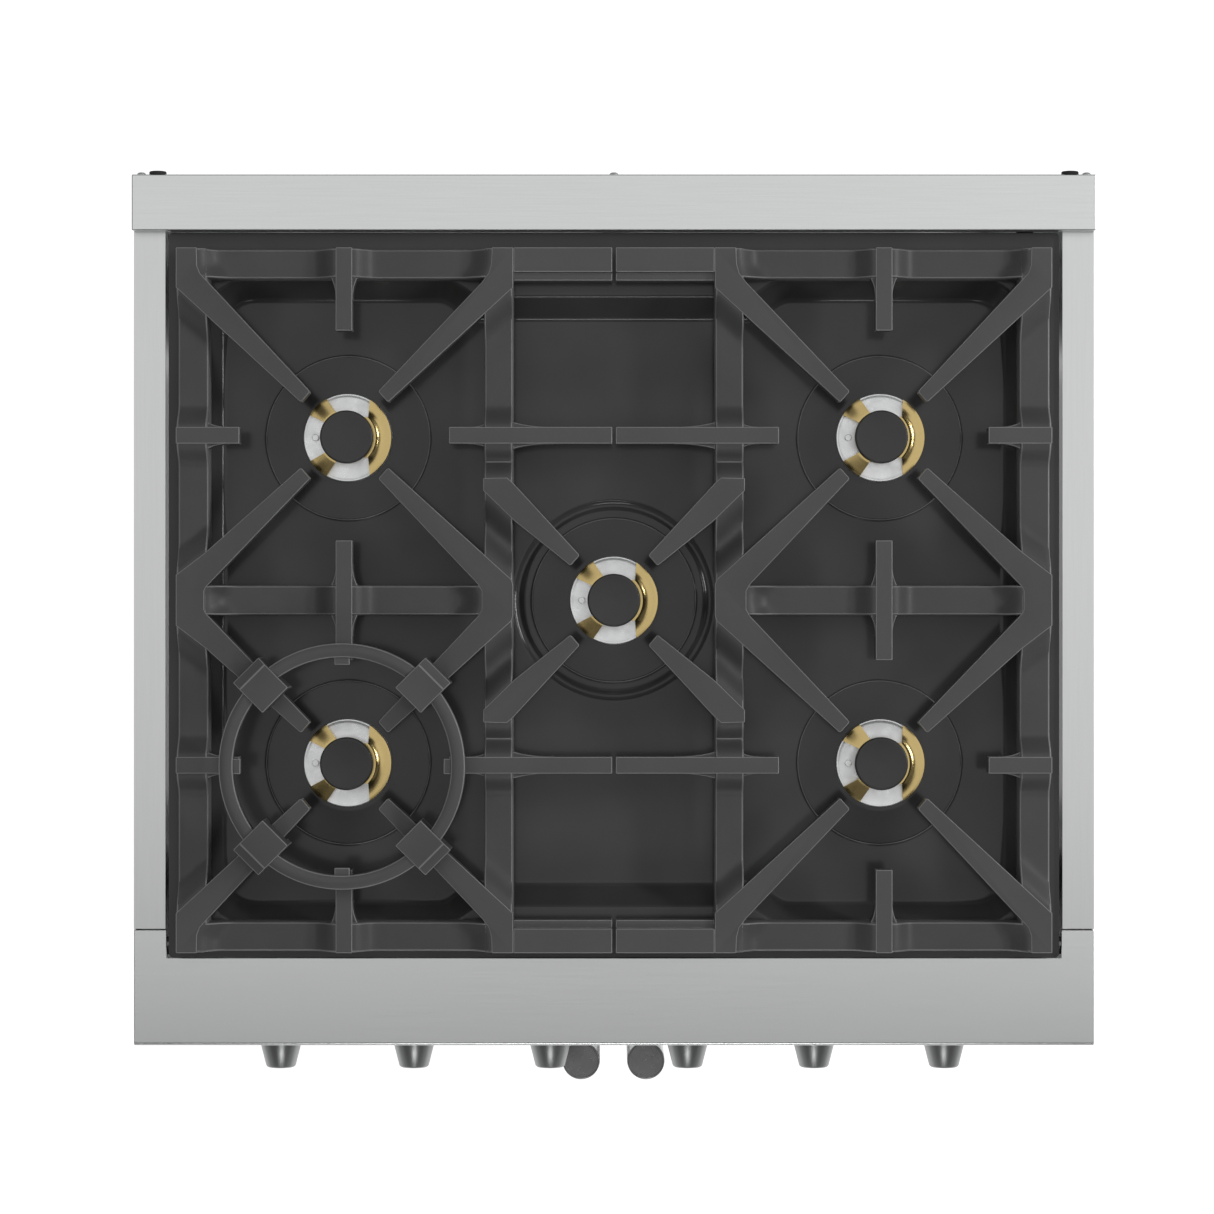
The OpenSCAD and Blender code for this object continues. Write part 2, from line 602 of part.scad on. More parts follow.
side_panel_left();
side_panel_right();
back_panel();
base_frame();
rear_trim();
front_ledge();
control_panel();
spill_tray();
burner_bodies();
burner_heads();
igniter_electrodes();
knob_bezels();
gas_manifold();
gas_valves();
gas_tubes();
oven_liner();
oven_front_frame();
oven_gasket();
rack_guides();
oven_floor_plate();
bake_burner();
broil_burner();
oven_lamp();
kick_panel();
door_hinges();
rear_screws();
wall_bumpers();
gas_inlet();
power_inlet();
feet();
door_left_panel();
door_left_inner();
door_left_glass();
door_left_handle();
door_right_panel();
door_right_inner();
door_right_glass();
door_right_handle();
grate_left();
grate_right();
wok_ring();
cap_rear_left();
cap_rear_right();
cap_front_left();
cap_front_right();
cap_centre();
knob_1();
knob_2();
knob_3();
knob_4();
knob_5();
knob_6();
knob_stem_1();
knob_stem_2();
knob_stem_3();
knob_stem_4();
knob_stem_5();
knob_stem_6();
rack_upper();
rack_lower();
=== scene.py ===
"""Looks of a freestanding gas range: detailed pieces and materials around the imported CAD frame."""
import math

import bmesh
import bpy
from mathutils import Matrix, Vector


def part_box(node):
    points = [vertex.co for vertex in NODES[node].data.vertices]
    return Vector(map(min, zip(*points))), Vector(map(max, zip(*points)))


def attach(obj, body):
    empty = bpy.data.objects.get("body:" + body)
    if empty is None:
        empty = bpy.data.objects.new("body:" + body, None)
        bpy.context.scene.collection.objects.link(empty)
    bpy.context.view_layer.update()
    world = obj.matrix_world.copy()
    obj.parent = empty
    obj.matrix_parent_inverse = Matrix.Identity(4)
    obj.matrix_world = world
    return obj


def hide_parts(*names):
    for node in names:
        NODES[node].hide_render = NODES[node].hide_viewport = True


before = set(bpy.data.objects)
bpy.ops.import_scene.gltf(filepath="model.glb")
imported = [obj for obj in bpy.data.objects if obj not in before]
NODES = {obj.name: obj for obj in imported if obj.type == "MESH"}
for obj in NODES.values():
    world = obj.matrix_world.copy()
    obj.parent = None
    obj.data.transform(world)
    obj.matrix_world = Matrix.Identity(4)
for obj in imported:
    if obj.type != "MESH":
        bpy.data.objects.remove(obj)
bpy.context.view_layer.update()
MM = 0.001
TAU = 2 * math.pi

# ---- places taken from the frame, in millimetres ----
def place(node):
    """Lowest and highest corner of a CAD node at rest."""
    lo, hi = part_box(node)
    return lo / MM, hi / MM


def middle(node):
    lo, hi = place(node)
    return (lo + hi) / 2


TRAY_LO, TRAY_HI = place("spill_tray")
TRIM_Y = place("rear_trim")[1].y         # rear face of the trim
GRATE_LO, GRATE_HI = place("grate_left")
COOK_Y = (GRATE_LO.y + GRATE_HI.y) / 2
GRATE_TOP = GRATE_HI.z
TRAY_DEPTH = 21          # from the tray's flange down to its floor
DISC_RISE = 3            # from the tray's floor up to a burner's seat
CUP_RISE = 5.1           # from the seat up to the brass head
HEAD_RISE = 8.1          # from the head's foot up to the cap's rim
FLANGE_Z = TRAY_HI.z
FLOOR_Z = FLANGE_Z - TRAY_DEPTH
SEAT_Z = FLOOR_Z + DISC_RISE
BURNERS = {name: middle("cap_" + name) for name in
           ("rear_left", "rear_right", "front_left", "front_right", "centre")}
CELL_X = BURNERS["rear_right"].x
CELL_Y = BURNERS["rear_right"].y - COOK_Y


# ---- mesh building ----
def new_object(name, data):
    obj = bpy.data.objects.new(name, data)
    bpy.context.scene.collection.objects.link(obj)
    return obj


def smooth(mesh, sharp):
    """Shades a mesh smooth; edges over sharp degrees stay crisp."""
    mesh.polygons.foreach_set("use_smooth", [True] * len(mesh.polygons))
    if sharp:
        mesh.set_sharp_from_angle(angle=math.radians(sharp))


def around(centre, u, v, radius, sides):
    """Ring of points round a centre, in the plane of the unit vectors u and v."""
    angles = [k * TAU / sides for k in range(sides)]
    return [centre + (u * math.cos(a) + v * math.sin(a)) * radius for a in angles]


class Shell:
    """Vertices and faces that grow piece by piece, in millimetres."""

    def __init__(self):
        self.verts = []
        self.faces = []
        self.marked = []         # faces that take the second material

    def add(self, verts, faces):
        base = len(self.verts)
        self.verts += [tuple(v) for v in verts]
        self.faces += [tuple(base + i for i in f) for f in faces]

    def loft(self, rings, cap_start=False, cap_end=False, close=False, marks=()):
        """Skin between rings that have the same number of points; marks are strips along it."""
        n = len(rings[0])
        self.marked += [len(self.faces) + k * n + i for k in range(len(rings) - 1) for i in marks]
        verts = [p for ring in rings for p in ring]
        pairs = [(k, k + 1) for k in range(len(rings) - 1)]
        if close:
            pairs.append((len(rings) - 1, 0))
        faces = [(a * n + i, a * n + (i + 1) % n, b * n + (i + 1) % n, b * n + i)
                 for a, b in pairs for i in range(n)]
        if cap_start:
            faces.append(tuple(reversed(range(n))))
        if cap_end:
            faces.append(tuple(range((len(rings) - 1) * n, len(rings) * n)))
        self.add(verts, faces)

    def prism(self, outline, z0, z1):
        """Upright prism over an outline of (x, y) points."""
        self.loft([[(x, y, z) for x, y in outline] for z in (z0, z1)], True, True)

    def lathe(self, profile, centre, segments=64, axis="Z", close=False):
        """Turned solid: the profile's (radius, height) points run round the Z or Y axis through centre.

        With axis "Y" the height goes towards the front. A radius of 0 at an end closes in a point."""
        def spot(r, h, angle):
            u, v = r * math.cos(angle), r * math.sin(angle)
            return Vector(centre) + Vector((u, v, h) if axis == "Z" else (u, -h, v))

        first = len(self.verts)
        rings = [[spot(r, h, TAU * i / segments) for i in range(segments)] for r, h in profile if r > 0]
        tips = [profile[0][0] == 0, profile[-1][0] == 0]
        self.loft(rings, not close and not tips[0], not close and not tips[1], close)
        for at_end, is_tip in enumerate(tips):
            if is_tip:
                base = first + (len(rings) - 1) * segments if at_end else first
                self.verts.append(tuple(spot(0, profile[-1 if at_end else 0][1], 0)))
                tip = len(self.verts) - 1
                self.faces += [(base + i, base + (i + 1) % segments, tip) for i in range(segments)]

    def rod(self, a, b, radius, sides=12):
        """Round rod between two points, with slightly chamfered ends."""
        a, b = Vector(a), Vector(b)
        length = (b - a).length
        along = (b - a).normalized()
        u = along.orthogonal().normalized()
        v = along.cross(u)
        nip = min(radius * 0.3, length / 4)
        ends = ((0, radius - nip), (nip, radius), (length - nip, radius), (length, radius - nip))
        self.loft([around(a + along * t, u, v, r, sides) for t, r in ends], True, True)

    def hoop(self, path, radius, sides):
        """Round wire along a closed path of points."""
        path = [Vector(p) for p in path]
        rings = []
        side = None
        for i, here in enumerate(path):
            along = (path[(i + 1) % len(path)] - path[i - 1]).normalized()
            if side is None:
                side = along.orthogonal()
            side = (side - along * along.dot(side)).normalized()
            rings.append(around(here, side, along.cross(side), radius, sides))
        self.loft(rings, close=True)

    def box(self, lo, hi):
        x0, y0, z0 = lo
        x1, y1, z1 = hi
        self.prism(rect(x0, x1, y0, y1), z0, z1)

    def build(self, name, material, body, sharp=None, second=None):
        """Makes the mesh object that rides a body. Marked faces take the second material."""
        mesh = bpy.data.meshes.new(name)
        mesh.from_pydata([Vector(v) * MM for v in self.verts], [], self.faces)
        bm = bmesh.new()
        bm.from_mesh(mesh)
        bmesh.ops.recalc_face_normals(bm, faces=bm.faces)
        bm.to_mesh(mesh)
        bm.free()
        smooth(mesh, sharp)
        obj = new_object(name, mesh)
        mesh.materials.append(material)
        if self.marked:
            mesh.materials.append(second)
            for index in self.marked:
                mesh.polygons[index].material_index = 1
        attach(obj, body)
        return obj


def stand_in(piece, node):
    """Hides the CAD node whose place the piece takes; the piece itself is not used."""
    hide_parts(node)


def soften(obj, width, angle, weld=False, edge=None):
    """Rounds a piece's edges sharper than angle, by a width in millimetres, and keeps its flats flat.

    edge is the material of the rounded edges, where it differs."""
    if weld:
        joined = obj.modifiers.new("weld", "WELD")
        joined.merge_threshold = 0.02 * MM
        flat = obj.modifiers.new("flats", "DECIMATE")
        flat.decimate_type = "DISSOLVE"
        flat.angle_limit = math.radians(1)
    bevel = obj.modifiers.new("edges", "BEVEL")
    bevel.width = width * MM
    bevel.segments = 2
    bevel.limit_method = "ANGLE"
    bevel.angle_limit = math.radians(angle)
    if edge:
        if edge.name not in obj.data.materials:
            obj.data.materials.append(edge)
        bevel.material = obj.data.materials.find(edge.name)
    bevel.use_clamp_overlap = True
    obj.modifiers.new("normals", "WEIGHTED_NORMAL").keep_sharp = True


def arc(cx, cy, r, a0, a1, n):
    """Points on a circle from a0 to a1 degrees."""
    return [(cx + r * math.cos(math.radians(a0 + (a1 - a0) * i / n)),
             cy + r * math.sin(math.radians(a0 + (a1 - a0) * i / n))) for i in range(n + 1)]


def rect(x0, x1, y0, y1):
    return [(x0, y0), (x1, y0), (x1, y1), (x0, y1)]


def ease(t):
    """S-curve from 0 to 1."""
    t = min(max(t, 0.0), 1.0)
    return 0.5 - 0.5 * math.cos(math.pi * t)


# ---- materials ----
def nodes_of(owner):
    """Node list and link list of a material or a world."""
    return owner.node_tree.nodes, owner.node_tree.links


def principled(name, colour, rough, metallic=0.0, **sockets):
    material = bpy.data.materials.new(name)
    material.use_nodes = True
    shader = material.node_tree.nodes["Principled BSDF"]
    shader.inputs["Base Color"].default_value = (*colour, 1)
    shader.inputs["Roughness"].default_value = rough
    shader.inputs["Metallic"].default_value = metallic
    for socket, value in sockets.items():
        shader.inputs[socket.replace("_", " ")].default_value = value
    return material, shader


def noise(material, scale, detail=3, stretch=(1, 1, 1), rough=0.55):
    """Noise in the piece's own coordinates, with metres as its unit."""
    nodes, links = nodes_of(material)
    coordinates = nodes.new("ShaderNodeTexCoord")
    mapping = nodes.new("ShaderNodeMapping")
    mapping.inputs["Scale"].default_value = stretch
    texture = nodes.new("ShaderNodeTexNoise")
    texture.inputs["Scale"].default_value = scale
    texture.inputs["Detail"].default_value = detail
    texture.inputs["Roughness"].default_value = rough
    links.new(coordinates.outputs["Object"], mapping.inputs["Vector"])
    links.new(mapping.outputs["Vector"], texture.inputs["Vector"])
    return texture.outputs["Fac"]


def remap(owner, factor, span, low, high, smooth_step=False):
    """Maps a factor's span to the range from low to high."""
    nodes, links = nodes_of(owner)
    node = nodes.new("ShaderNodeMapRange")
    if smooth_step:
        node.interpolation_type = "SMOOTHSTEP"
    for socket, value in zip(("From Min", "From Max", "To Min", "To Max"), (*span, low, high)):
        node.inputs[socket].default_value = value
    links.new(factor, node.inputs["Value"])
    return node.outputs["Result"]


def mixed(material, factor, first, second):
    """Mix of two colours, each a colour or a socket."""
    nodes, links = nodes_of(material)
    node = nodes.new("ShaderNodeMix")
    node.data_type = "RGBA"
    links.new(factor, node.inputs["Factor"])
    for socket, colour in zip([i for i in node.inputs if i.type == "RGBA"], (first, second)):
        if isinstance(colour, tuple):
            socket.default_value = (*colour, 1)
        else:
            links.new(colour, socket)
    return next(o for o in node.outputs if o.type == "RGBA")


def scaled(value, factor):
    """A number or a colour times a factor, at most 1."""
    if isinstance(value, tuple):
        return tuple(scaled(v, factor) for v in value)
    return min(value * factor, 1)


def varied(material, pattern, value, low, high, span=(0.35, 0.65)):
    """A number or colour that a pattern moves between low and high times its value."""
    low, high = scaled(value, low), scaled(value, high)
    if isinstance(value, tuple):
        return mixed(material, remap(material, pattern, span, 0, 1), low, high)
    return remap(material, pattern, span, low, high)


def link(material, source, socket):
    material.node_tree.links.new(source, socket)


def bump(material, shader, height, relief, strength):
    """Fine relief, with its height in millimetres."""
    node = material.node_tree.nodes.new("ShaderNodeBump")
    node.inputs["Distance"].default_value = relief * MM
    node.inputs["Strength"].default_value = strength
    link(material, height, node.inputs["Height"])
    link(material, node.outputs["Normal"], shader.inputs["Normal"])


def brushed(name, colour, rough, stretch, scale=900):
    """Brushed metal: fine streaks along the axis whose stretch is small, over faint large clouds."""
    material, shader = principled(name, colour, rough, 1.0)
    streak = noise(material, scale, 2, stretch)
    cloud = noise(material, 4, 2)
    link(material, varied(material, streak, colour, 0.97, 1.03, (0.1, 0.9)), shader.inputs["Base Color"])
    link(material, varied(material, cloud, rough, 0.92, 1.08, (0, 1)), shader.inputs["Roughness"])
    bump(material, shader, streak, 0.02, 0.1)
    return material


def enamel(name, colour, rough, **sockets):
    """Fired enamel: smooth coat with a faint orange peel."""
    material, shader = principled(name, colour, rough, 0.0, **sockets)
    cloud = noise(material, 9, 3)
    grain = noise(material, 1400, 2)
    link(material, varied(material, cloud, colour, 0.90, 1.10), shader.inputs["Base Color"])
    link(material, varied(material, grain, rough, 0.92, 1.1), shader.inputs["Roughness"])
    bump(material, shader, noise(material, 420, 3), 0.02, 0.5)
    return material


def cast(name, colour, rough):
    """Cast iron under matte enamel: sandy grain in colour and relief, with a painted highlight that makes
    sharp edges lighter.
    """
    material, shader = principled(name, colour, rough)
    sand = noise(material, 750, 4, rough=0.7)
    tone = varied(material, noise(material, 14, 3), colour, 0.92, 1.08)
    edge = material.node_tree.nodes.new("ShaderNodeNewGeometry").outputs["Pointiness"]
    # painted highlight: the sharpest edges, found by pointiness, blend towards a lighter tone
    painted_edge_highlight = remap(material, edge, (0.53, 0.60), 0.0, 0.35)
    link(material, mixed(material, painted_edge_highlight, tone, scaled(colour, 2.6)), shader.inputs["Base Color"])
    link(material, varied(material, sand, rough, 0.88, 1.15), shader.inputs["Roughness"])
    bump(material, shader, sand, 0.12, 0.45)
    return material


def plain(name, colour, rough, metallic=0.0, grain=600, relief=0.01, **sockets):
    """Moulded, plated or glazed surface with a faint grain."""
    material, shader = principled(name, colour, rough, metallic, **sockets)
    speck = noise(material, grain, 3)
    link(material, varied(material, speck, colour, 0.92, 1.06), shader.inputs["Base Color"])
    cloud = noise(material, grain / 20, 2)
    link(material, varied(material, cloud, rough, 0.85, 1.2), shader.inputs["Roughness"])
    bump(material, shader, speck, relief, 0.4)
    return material


def turned(name, colour, rough, x, y):
    """Face-turned metal: fine rings round an upright axis through (x, y)."""
    material, shader = principled(name, colour, rough, 1.0)
    nodes, links = nodes_of(material)
    coordinates = nodes.new("ShaderNodeTexCoord")
    mapping = nodes.new("ShaderNodeMapping")
    mapping.inputs["Location"].default_value = (-x * MM, -y * MM, 0)
    rings = nodes.new("ShaderNodeTexWave")
    rings.wave_type = "RINGS"
    rings.rings_direction = "Z"
    rings.inputs["Scale"].default_value = 420
    rings.inputs["Distortion"].default_value = 0.6
    links.new(coordinates.outputs["Object"], mapping.inputs["Vector"])
    links.new(mapping.outputs["Vector"], rings.inputs["Vector"])
    lines = rings.outputs["Fac"]
    link(material, varied(material, lines, colour, 0.9, 1.1, (0, 1)), shader.inputs["Base Color"])
    link(material, varied(material, noise(material, 300, 2), rough, 0.9, 1.1), shader.inputs["Roughness"])
    bump(material, shader, lines, 0.05, 0.6)
    return material


STAINLESS = brushed("stainless", (0.588, 0.600, 0.594), 0.26, (0.02, 1, 1))
STAINLESS_SIDE = brushed("stainless_side", (0.58, 0.59, 0.585), 0.30, (1, 0.02, 1))
SATIN = brushed("satin_steel", (0.50, 0.505, 0.505), 0.24, (1, 1, 0.05), 700)
KNOB_STEEL = brushed("knob_steel", (0.29, 0.295, 0.295), 0.34, (1, 0.05, 1), 700)
ENAMEL = enamel("black_enamel", (0.052, 0.052, 0.052), 0.14, IOR=1.33)
DISC = enamel("disc_enamel", (0.025, 0.025, 0.025), 0.17, IOR=1.43)
CAP = cast("cap_enamel", (0.027, 0.027, 0.027), 0.42)
OVEN = enamel("oven_enamel", (0.020, 0.021, 0.026), 0.22)
IRON = cast("cast_iron", (0.056, 0.056, 0.056), 0.50)
# lighter copy of the cast iron: painted highlights on rounded edges, and painted light over the shade on the
# steep sides of the bars
IRON_HIGHLIGHT = cast("cast_iron_painted_highlight", (0.17, 0.17, 0.17), 0.42)
BRASS = brushed("brass", (0.50, 0.38, 0.165), 0.22, (1, 1, 1), 500)
ALUMINIUM = plain("aluminium", (0.70, 0.71, 0.71), 0.32, 0.8, 2400, 0.002)
ZINC = plain("galvanised", (0.46, 0.47, 0.48), 0.42, 0.9, 90, 0.02)
CHROME = plain("chrome_wire", (0.66, 0.66, 0.67), 0.16, 1.0, 500, 0.01)
HEAT_STEEL = plain("burner_steel", (0.28, 0.25, 0.22), 0.42, 1.0, 60, 0.02)
RUBBER = plain("black_rubber", (0.018, 0.018, 0.018), 0.75, 0.0, 700, 0.03)
PLASTIC = plain("black_plastic", (0.03, 0.03, 0.03), 0.5, 0.0, 800, 0.02)
ROPE = plain("gasket", (0.06, 0.06, 0.06), 0.9, 0.0, 1500, 0.3)
GLASS = plain("dark_glass", (0.56, 0.57, 0.58), 0.02, 0.0, 6000, 0.0002, Transmission_Weight=0.95, IOR=1.4)
LENS = plain("lamp_glass", (0.85, 0.83, 0.76), 0.12, 0.0, 200, 0.02, Transmission_Weight=0.6, IOR=1.5)

# ---- carried-over CAD nodes: material, edge rounding in millimetres ----
CARRIED = {
    "side_panel_left": (STAINLESS_SIDE, 0.5), "side_panel_right": (STAINLESS_SIDE, 0.5),
    "rear_trim": (STAINLESS, 0.8), "front_ledge": (STAINLESS, 0.6),
    "control_panel": (STAINLESS, 0.5), "kick_panel": (STAINLESS, 0.4),
    "back_panel": (ZINC, 0.3), "base_frame": (ZINC, 1.0),
    "door_left_panel": (STAINLESS, 0.7), "door_right_panel": (STAINLESS, 0.7),
    "door_left_inner": (OVEN, 1.0), "door_right_inner": (OVEN, 1.0),
    "door_left_glass": (GLASS, 0.5), "door_right_glass": (GLASS, 0.5),
    "door_hinges": (ZINC, 0.4), "gas_manifold": (ZINC, 0.3), "gas_inlet": (ZINC, 0.5),
    "gas_valves": (BRASS, 0.6), "gas_tubes": (ALUMINIUM, 0),
    "oven_liner": (OVEN, 0.8), "oven_front_frame": (OVEN, 0.6), "oven_floor_plate": (OVEN, 0.4),
    "oven_gasket": (ROPE, 1.2), "rack_guides": (CHROME, 0.6),
    "bake_burner": (HEAT_STEEL, 0.4), "broil_burner": (HEAT_STEEL, 0.4), "oven_lamp": (LENS, 0),
    "igniter_electrodes": (ALUMINIUM, 0.3), "wall_bumpers": (RUBBER, 0.8),
    "power_inlet": (PLASTIC, 0.5),
}
KNOBS = [f"knob_{i}" for i in range(1, 7)]
for knob in KNOBS:
    CARRIED[knob.replace("knob", "knob_stem")] = (ALUMINIUM, 0.2)


def carry(name, material, rounding):
    """Keeps a CAD node's own mesh, with a material and rounded edges."""
    obj = NODES[name]
    for slot in obj.material_slots:
        slot.link = "OBJECT"
        slot.material = material
    if rounding:
        soften(obj, rounding, 40, weld=True)


# ---- grates: outlines in millimetres from the middle of the cooktop, for the left grate ----
OUT_X = -344.0           # outer side
DIV_X = -79.0            # inner side of the divider bar
MID_X = -1.4             # where the two grates meet
END_Y = 277.0            # front and rear ends
BACK_Y = 257.6           # front of the bar that reaches the middle
FINGER = 6.6             # half width of a straight finger
FINGER_DEEP = 15.5       # depth of the fingers
REAR_IN, SIDE_IN, DIV_IN, MID_W = 253, -319, -102.4, 11.9    # inner edges of the four kinds of bar
REACH = 18.0             # length of the ramps between bars and fingers
DROP = 12.0              # height of a finger above the dipped bars
BAR_LOW = 910.3          # underside of the bars
CORNER = [(OUT_X, END_Y), (-327.5, END_Y), (-327.2, 263), (-325, 257), (-321, 252.5),
          (-239.2, 164.8), (-238.8, 163.2), (-245.0, 156.0), (-246.6, 155.9), (OUT_X, 245.5)]
DIVIDER_REAR = [(-96, END_Y), (DIV_X, END_Y), (DIV_X, 245.5), (-176.6, 155.9), (-178.2, 156.0),
                (-184.6, 163.2), (-184.4, 164.8), (-104, 249.5), (-98.5, 257), (-96.6, 264)]
SIDE_V = [(OUT_X, 20), (-321, 37.5), (-246.6, 103.6), (-245, 103.4), (-238.8, 96.2), (-239.2, 94.6),
          (-320, 10.5), (-321.6, 7)]
DIVIDER_V = [(DIV_X, 12.5), (-80.5, 16.5), (-176.6, 103.6), (-178.2, 103.4), (-184.6, 96.2),
             (-184.4, 94.6), (-107, 12.5), (-104, 7)]
CENTRE_FINGER = [(-102.8, 96), (-84, 96.4), (-79.5, 92.5), (-27.6, 36.2), (-27.6, 34.6), (-33.4, 27.8),
                 (-35, 27.6), (DIV_X, 62.8), (-102.8, 86)]
BACK_BAR = [(DIV_X, BACK_Y), (DIV_X, END_Y), (MID_X, END_Y), (MID_X, BACK_Y)]
BACK_FOOT = [(DIV_X, BACK_Y), (DIV_X, 251.2), (MID_X, 251.2), (MID_X, BACK_Y)]


def flipped(points):
    """Mirror image of an outline over the middle line."""
    return [(x, -y) for x, y in reversed(points)]


def finger_outlines():
    half = [CORNER, DIVIDER_REAR, CENTRE_FINGER, BACK_BAR,
            rect(-CELL_X - FINGER, -CELL_X + FINGER, 211.6, END_Y),
            rect(OUT_X, -294, CELL_Y - FINGER, CELL_Y + FINGER),
            rect(-129.5, MID_X, CELL_Y - FINGER, CELL_Y + FINGER)]
    whole = [SIDE_V + flipped(SIDE_V), DIVIDER_V + flipped(DIVIDER_V),
             rect(-CELL_X - FINGER, -CELL_X + FINGER, -47, 47)]
    return half + [flipped(p) for p in half] + whole


def flare(along, x, y, sign, wide, length):
    """Foot of a finger that widens in a curve towards the bar it grows from."""
    steps = [i / 8 for i in range(9)]
    side = [(t * length, FINGER + 0.2 + (wide - FINGER) * (1 - t) ** 2.4) for t in steps]
    line = side + flipped(side)
    if along == "x":
        return [(x + sign * d, y + w) for d, w in line]
    return [(x + w, y + sign * d) for d, w in line]


def flare_outlines():
    half = [flare("y", -CELL_X, 253.5, -1, 10.4, 17), flare("x", -319.5, CELL_Y, 1, 10.4, 17),
            flare("x", -79.5, CELL_Y, 1, 10.4, 32), flare("x", -100.5, CELL_Y, -1, 9.4, 14)]
    whole = [flare("y", -CELL_X, 11.5, 1, 10.4, 17), flare("y", -CELL_X, -11.5, -1, 10.4, 17)]
    return half + [flipped(p) for p in half] + whole


def gap_to(outline, x, y):
    """Distance from a point to an outline, and 0 inside it."""
    inside = False
    best = 1e9
    count = len(outline)
    for i in range(count):
        ax, ay = outline[i]
        bx, by = outline[(i + 1) % count]
        if (ay > y) != (by > y) and x < (bx - ax) * (y - ay) / (by - ay) + ax:
            inside = not inside
        dx, dy = bx - ax, by - ay
        t = max(0.0, min(1.0, ((x - ax) * dx + (y - ay) * dy) / (dx * dx + dy * dy)))
        best = min(best, math.hypot(x - ax - t * dx, y - ay - t * dy))
    return 0.0 if inside else best


def bar(shell, x0, x1, y0, y1, along, fingers, draft):
    """Cast bar whose top rises in an S-curve to each finger it carries. Its sides lean in by the draft."""
    length, width = (x1 - x0, y1 - y0) if along == "x" else (y1 - y0, x1 - x0)
    near = [p for p in fingers if min(q[0] for q in p) < x1 + REACH and max(q[0] for q in p) > x0 - REACH
            and min(q[1] for q in p) < y1 + REACH and max(q[1] for q in p) > y0 - REACH]
    shoulder, round_over = 0.8, 1.6

    def spot(u, v):
        return (x0 + u, y0 + v) if along == "x" else (x0 + v, y0 + u)

    def height(u, v):
        gap = min(gap_to(p, *spot(u, v)) for p in near)
        return GRATE_TOP - DROP + (DROP - 0.35) * ease(1 - gap / REACH)

    steps = max(2, round(length / 2.5))
    crown = [draft + shoulder + (width - 2 * (draft + shoulder)) * k / 6 for k in range(7)]
    rings = []
    for i in range(steps + 1):
        u = length * i / steps
        section = [(0, BAR_LOW), (draft * 0.9, height(u, draft) - round_over)]
        section += [(v, height(u, v)) for v in crown]
        section += [(width - draft * 0.9, height(u, width - draft) - round_over), (width, BAR_LOW)]
        rings.append([(*spot(u, v), z) for v, z in section])
    last = len(rings[0]) - 1
    # the strips up both sides and over the top edges take the lighter iron: painted light over the shade on
    # the steep sides, and painted edge highlights
    shell.loft(rings, True, True, marks=(0, 1, last - 2, last - 1))


def make_grate(side, sign):
    """Fingers and bars of one grate; sign is -1 for the left and 1 for the right."""
    outlines = finger_outlines()
    fingers, bars = Shell(), Shell()
    for outline in outlines:
        fingers.prism(outline, GRATE_TOP - FINGER_DEEP, GRATE_TOP)
    for outline in flare_outlines():
        fingers.prism(outline, GRATE_TOP - 17, GRATE_TOP - 3.5)
    for outline in (BACK_FOOT, flipped(BACK_FOOT)):
        fingers.prism(outline, GRATE_TOP - 22, GRATE_TOP - 4)
    inset = 0.2
    x0, x1, y1 = OUT_X + inset, DIV_X - inset, END_Y - inset
    bar(bars, x0, x1, REAR_IN, y1, "x", outlines, 0.4)
    bar(bars, x0, x1, -y1, -REAR_IN, "x", outlines, 0.4)
    bar(bars, x0, SIDE_IN, 0.3 - y1, y1 - 0.3, "y", outlines, 0.4)
    bar(bars, DIV_IN, x1, 0.3 - y1, y1 - 0.3, "y", outlines, 0.4)
    bar(bars, -322, -99, -MID_W, MID_W, "x", outlines, 0.3)
    for shell in (fingers, bars):
        shell.verts = [(-sign * x, COOK_Y + y, z) for x, y, z in shell.verts]
    # the rounded edges of the fingers and bars take the lighter iron as painted highlights
    top = fingers.build(f"grate_{side}_fingers", IRON, f"grate_{side}")
    soften(top, 0.7, 40, edge=IRON_HIGHLIGHT)
    low = bars.build(f"grate_{side}_bars", IRON, f"grate_{side}", second=IRON_HIGHLIGHT)
    soften(low, 0.6, 50, edge=IRON_HIGHLIGHT)
    for piece in (top, low):
        stand_in(piece, f"grate_{side}")


make_grate("left", -1)
make_grate("right", 1)


# ---- spill tray: pressed basin, a raised disc under each burner, a moat round the middle one ----
def circle(cx, cy, r, n):
    return arc(cx, cy, r, 0, 360 * (n - 1) / n, n - 1)


def rounded(points, radii, grow=0.0, steps=6):
    """Outline with rounded corners, moved outwards by grow. Points run anticlockwise."""
    line = []
    count = len(points)
    for i in range(count):
        before, here, after = (Vector(points[(i + k) % count]) for k in (-1, 0, 1))
        a = (here - before).normalized()
        b = (after - here).normalized()
        turn = math.atan2(a.x * b.y - a.y * b.x, a.dot(b))
        side = 1 if turn > 0 else -1
        r = max(radii[i] + side * grow, 0.5)
        out_a, out_b = Vector((a.y, -a.x)), Vector((b.y, -b.x))
        corner = here + (out_a + out_b) * (grow / (1 + out_a.dot(out_b)))
        centre = corner - (out_a + out_b) * (side * r / (1 + out_a.dot(out_b)))
        start = math.atan2(side * out_a.y, side * out_a.x)
        for k in range(steps + 1):
            angle = start + turn * k / steps
            line.append((centre.x + r * math.cos(angle), centre.y + r * math.sin(angle)))
    return line


def fill_plane(bm, loops):
    """Flat skin between vertex loops of one level."""
    edges = [bm.edges.get((loop[i], loop[(i + 1) % len(loop)])) or
             bm.edges.new((loop[i], loop[(i + 1) % len(loop)])) for loop in loops for i in range(len(loop))]
    bmesh.ops.triangle_fill(bm, use_beauty=True, use_dissolve=False, edges=edges)


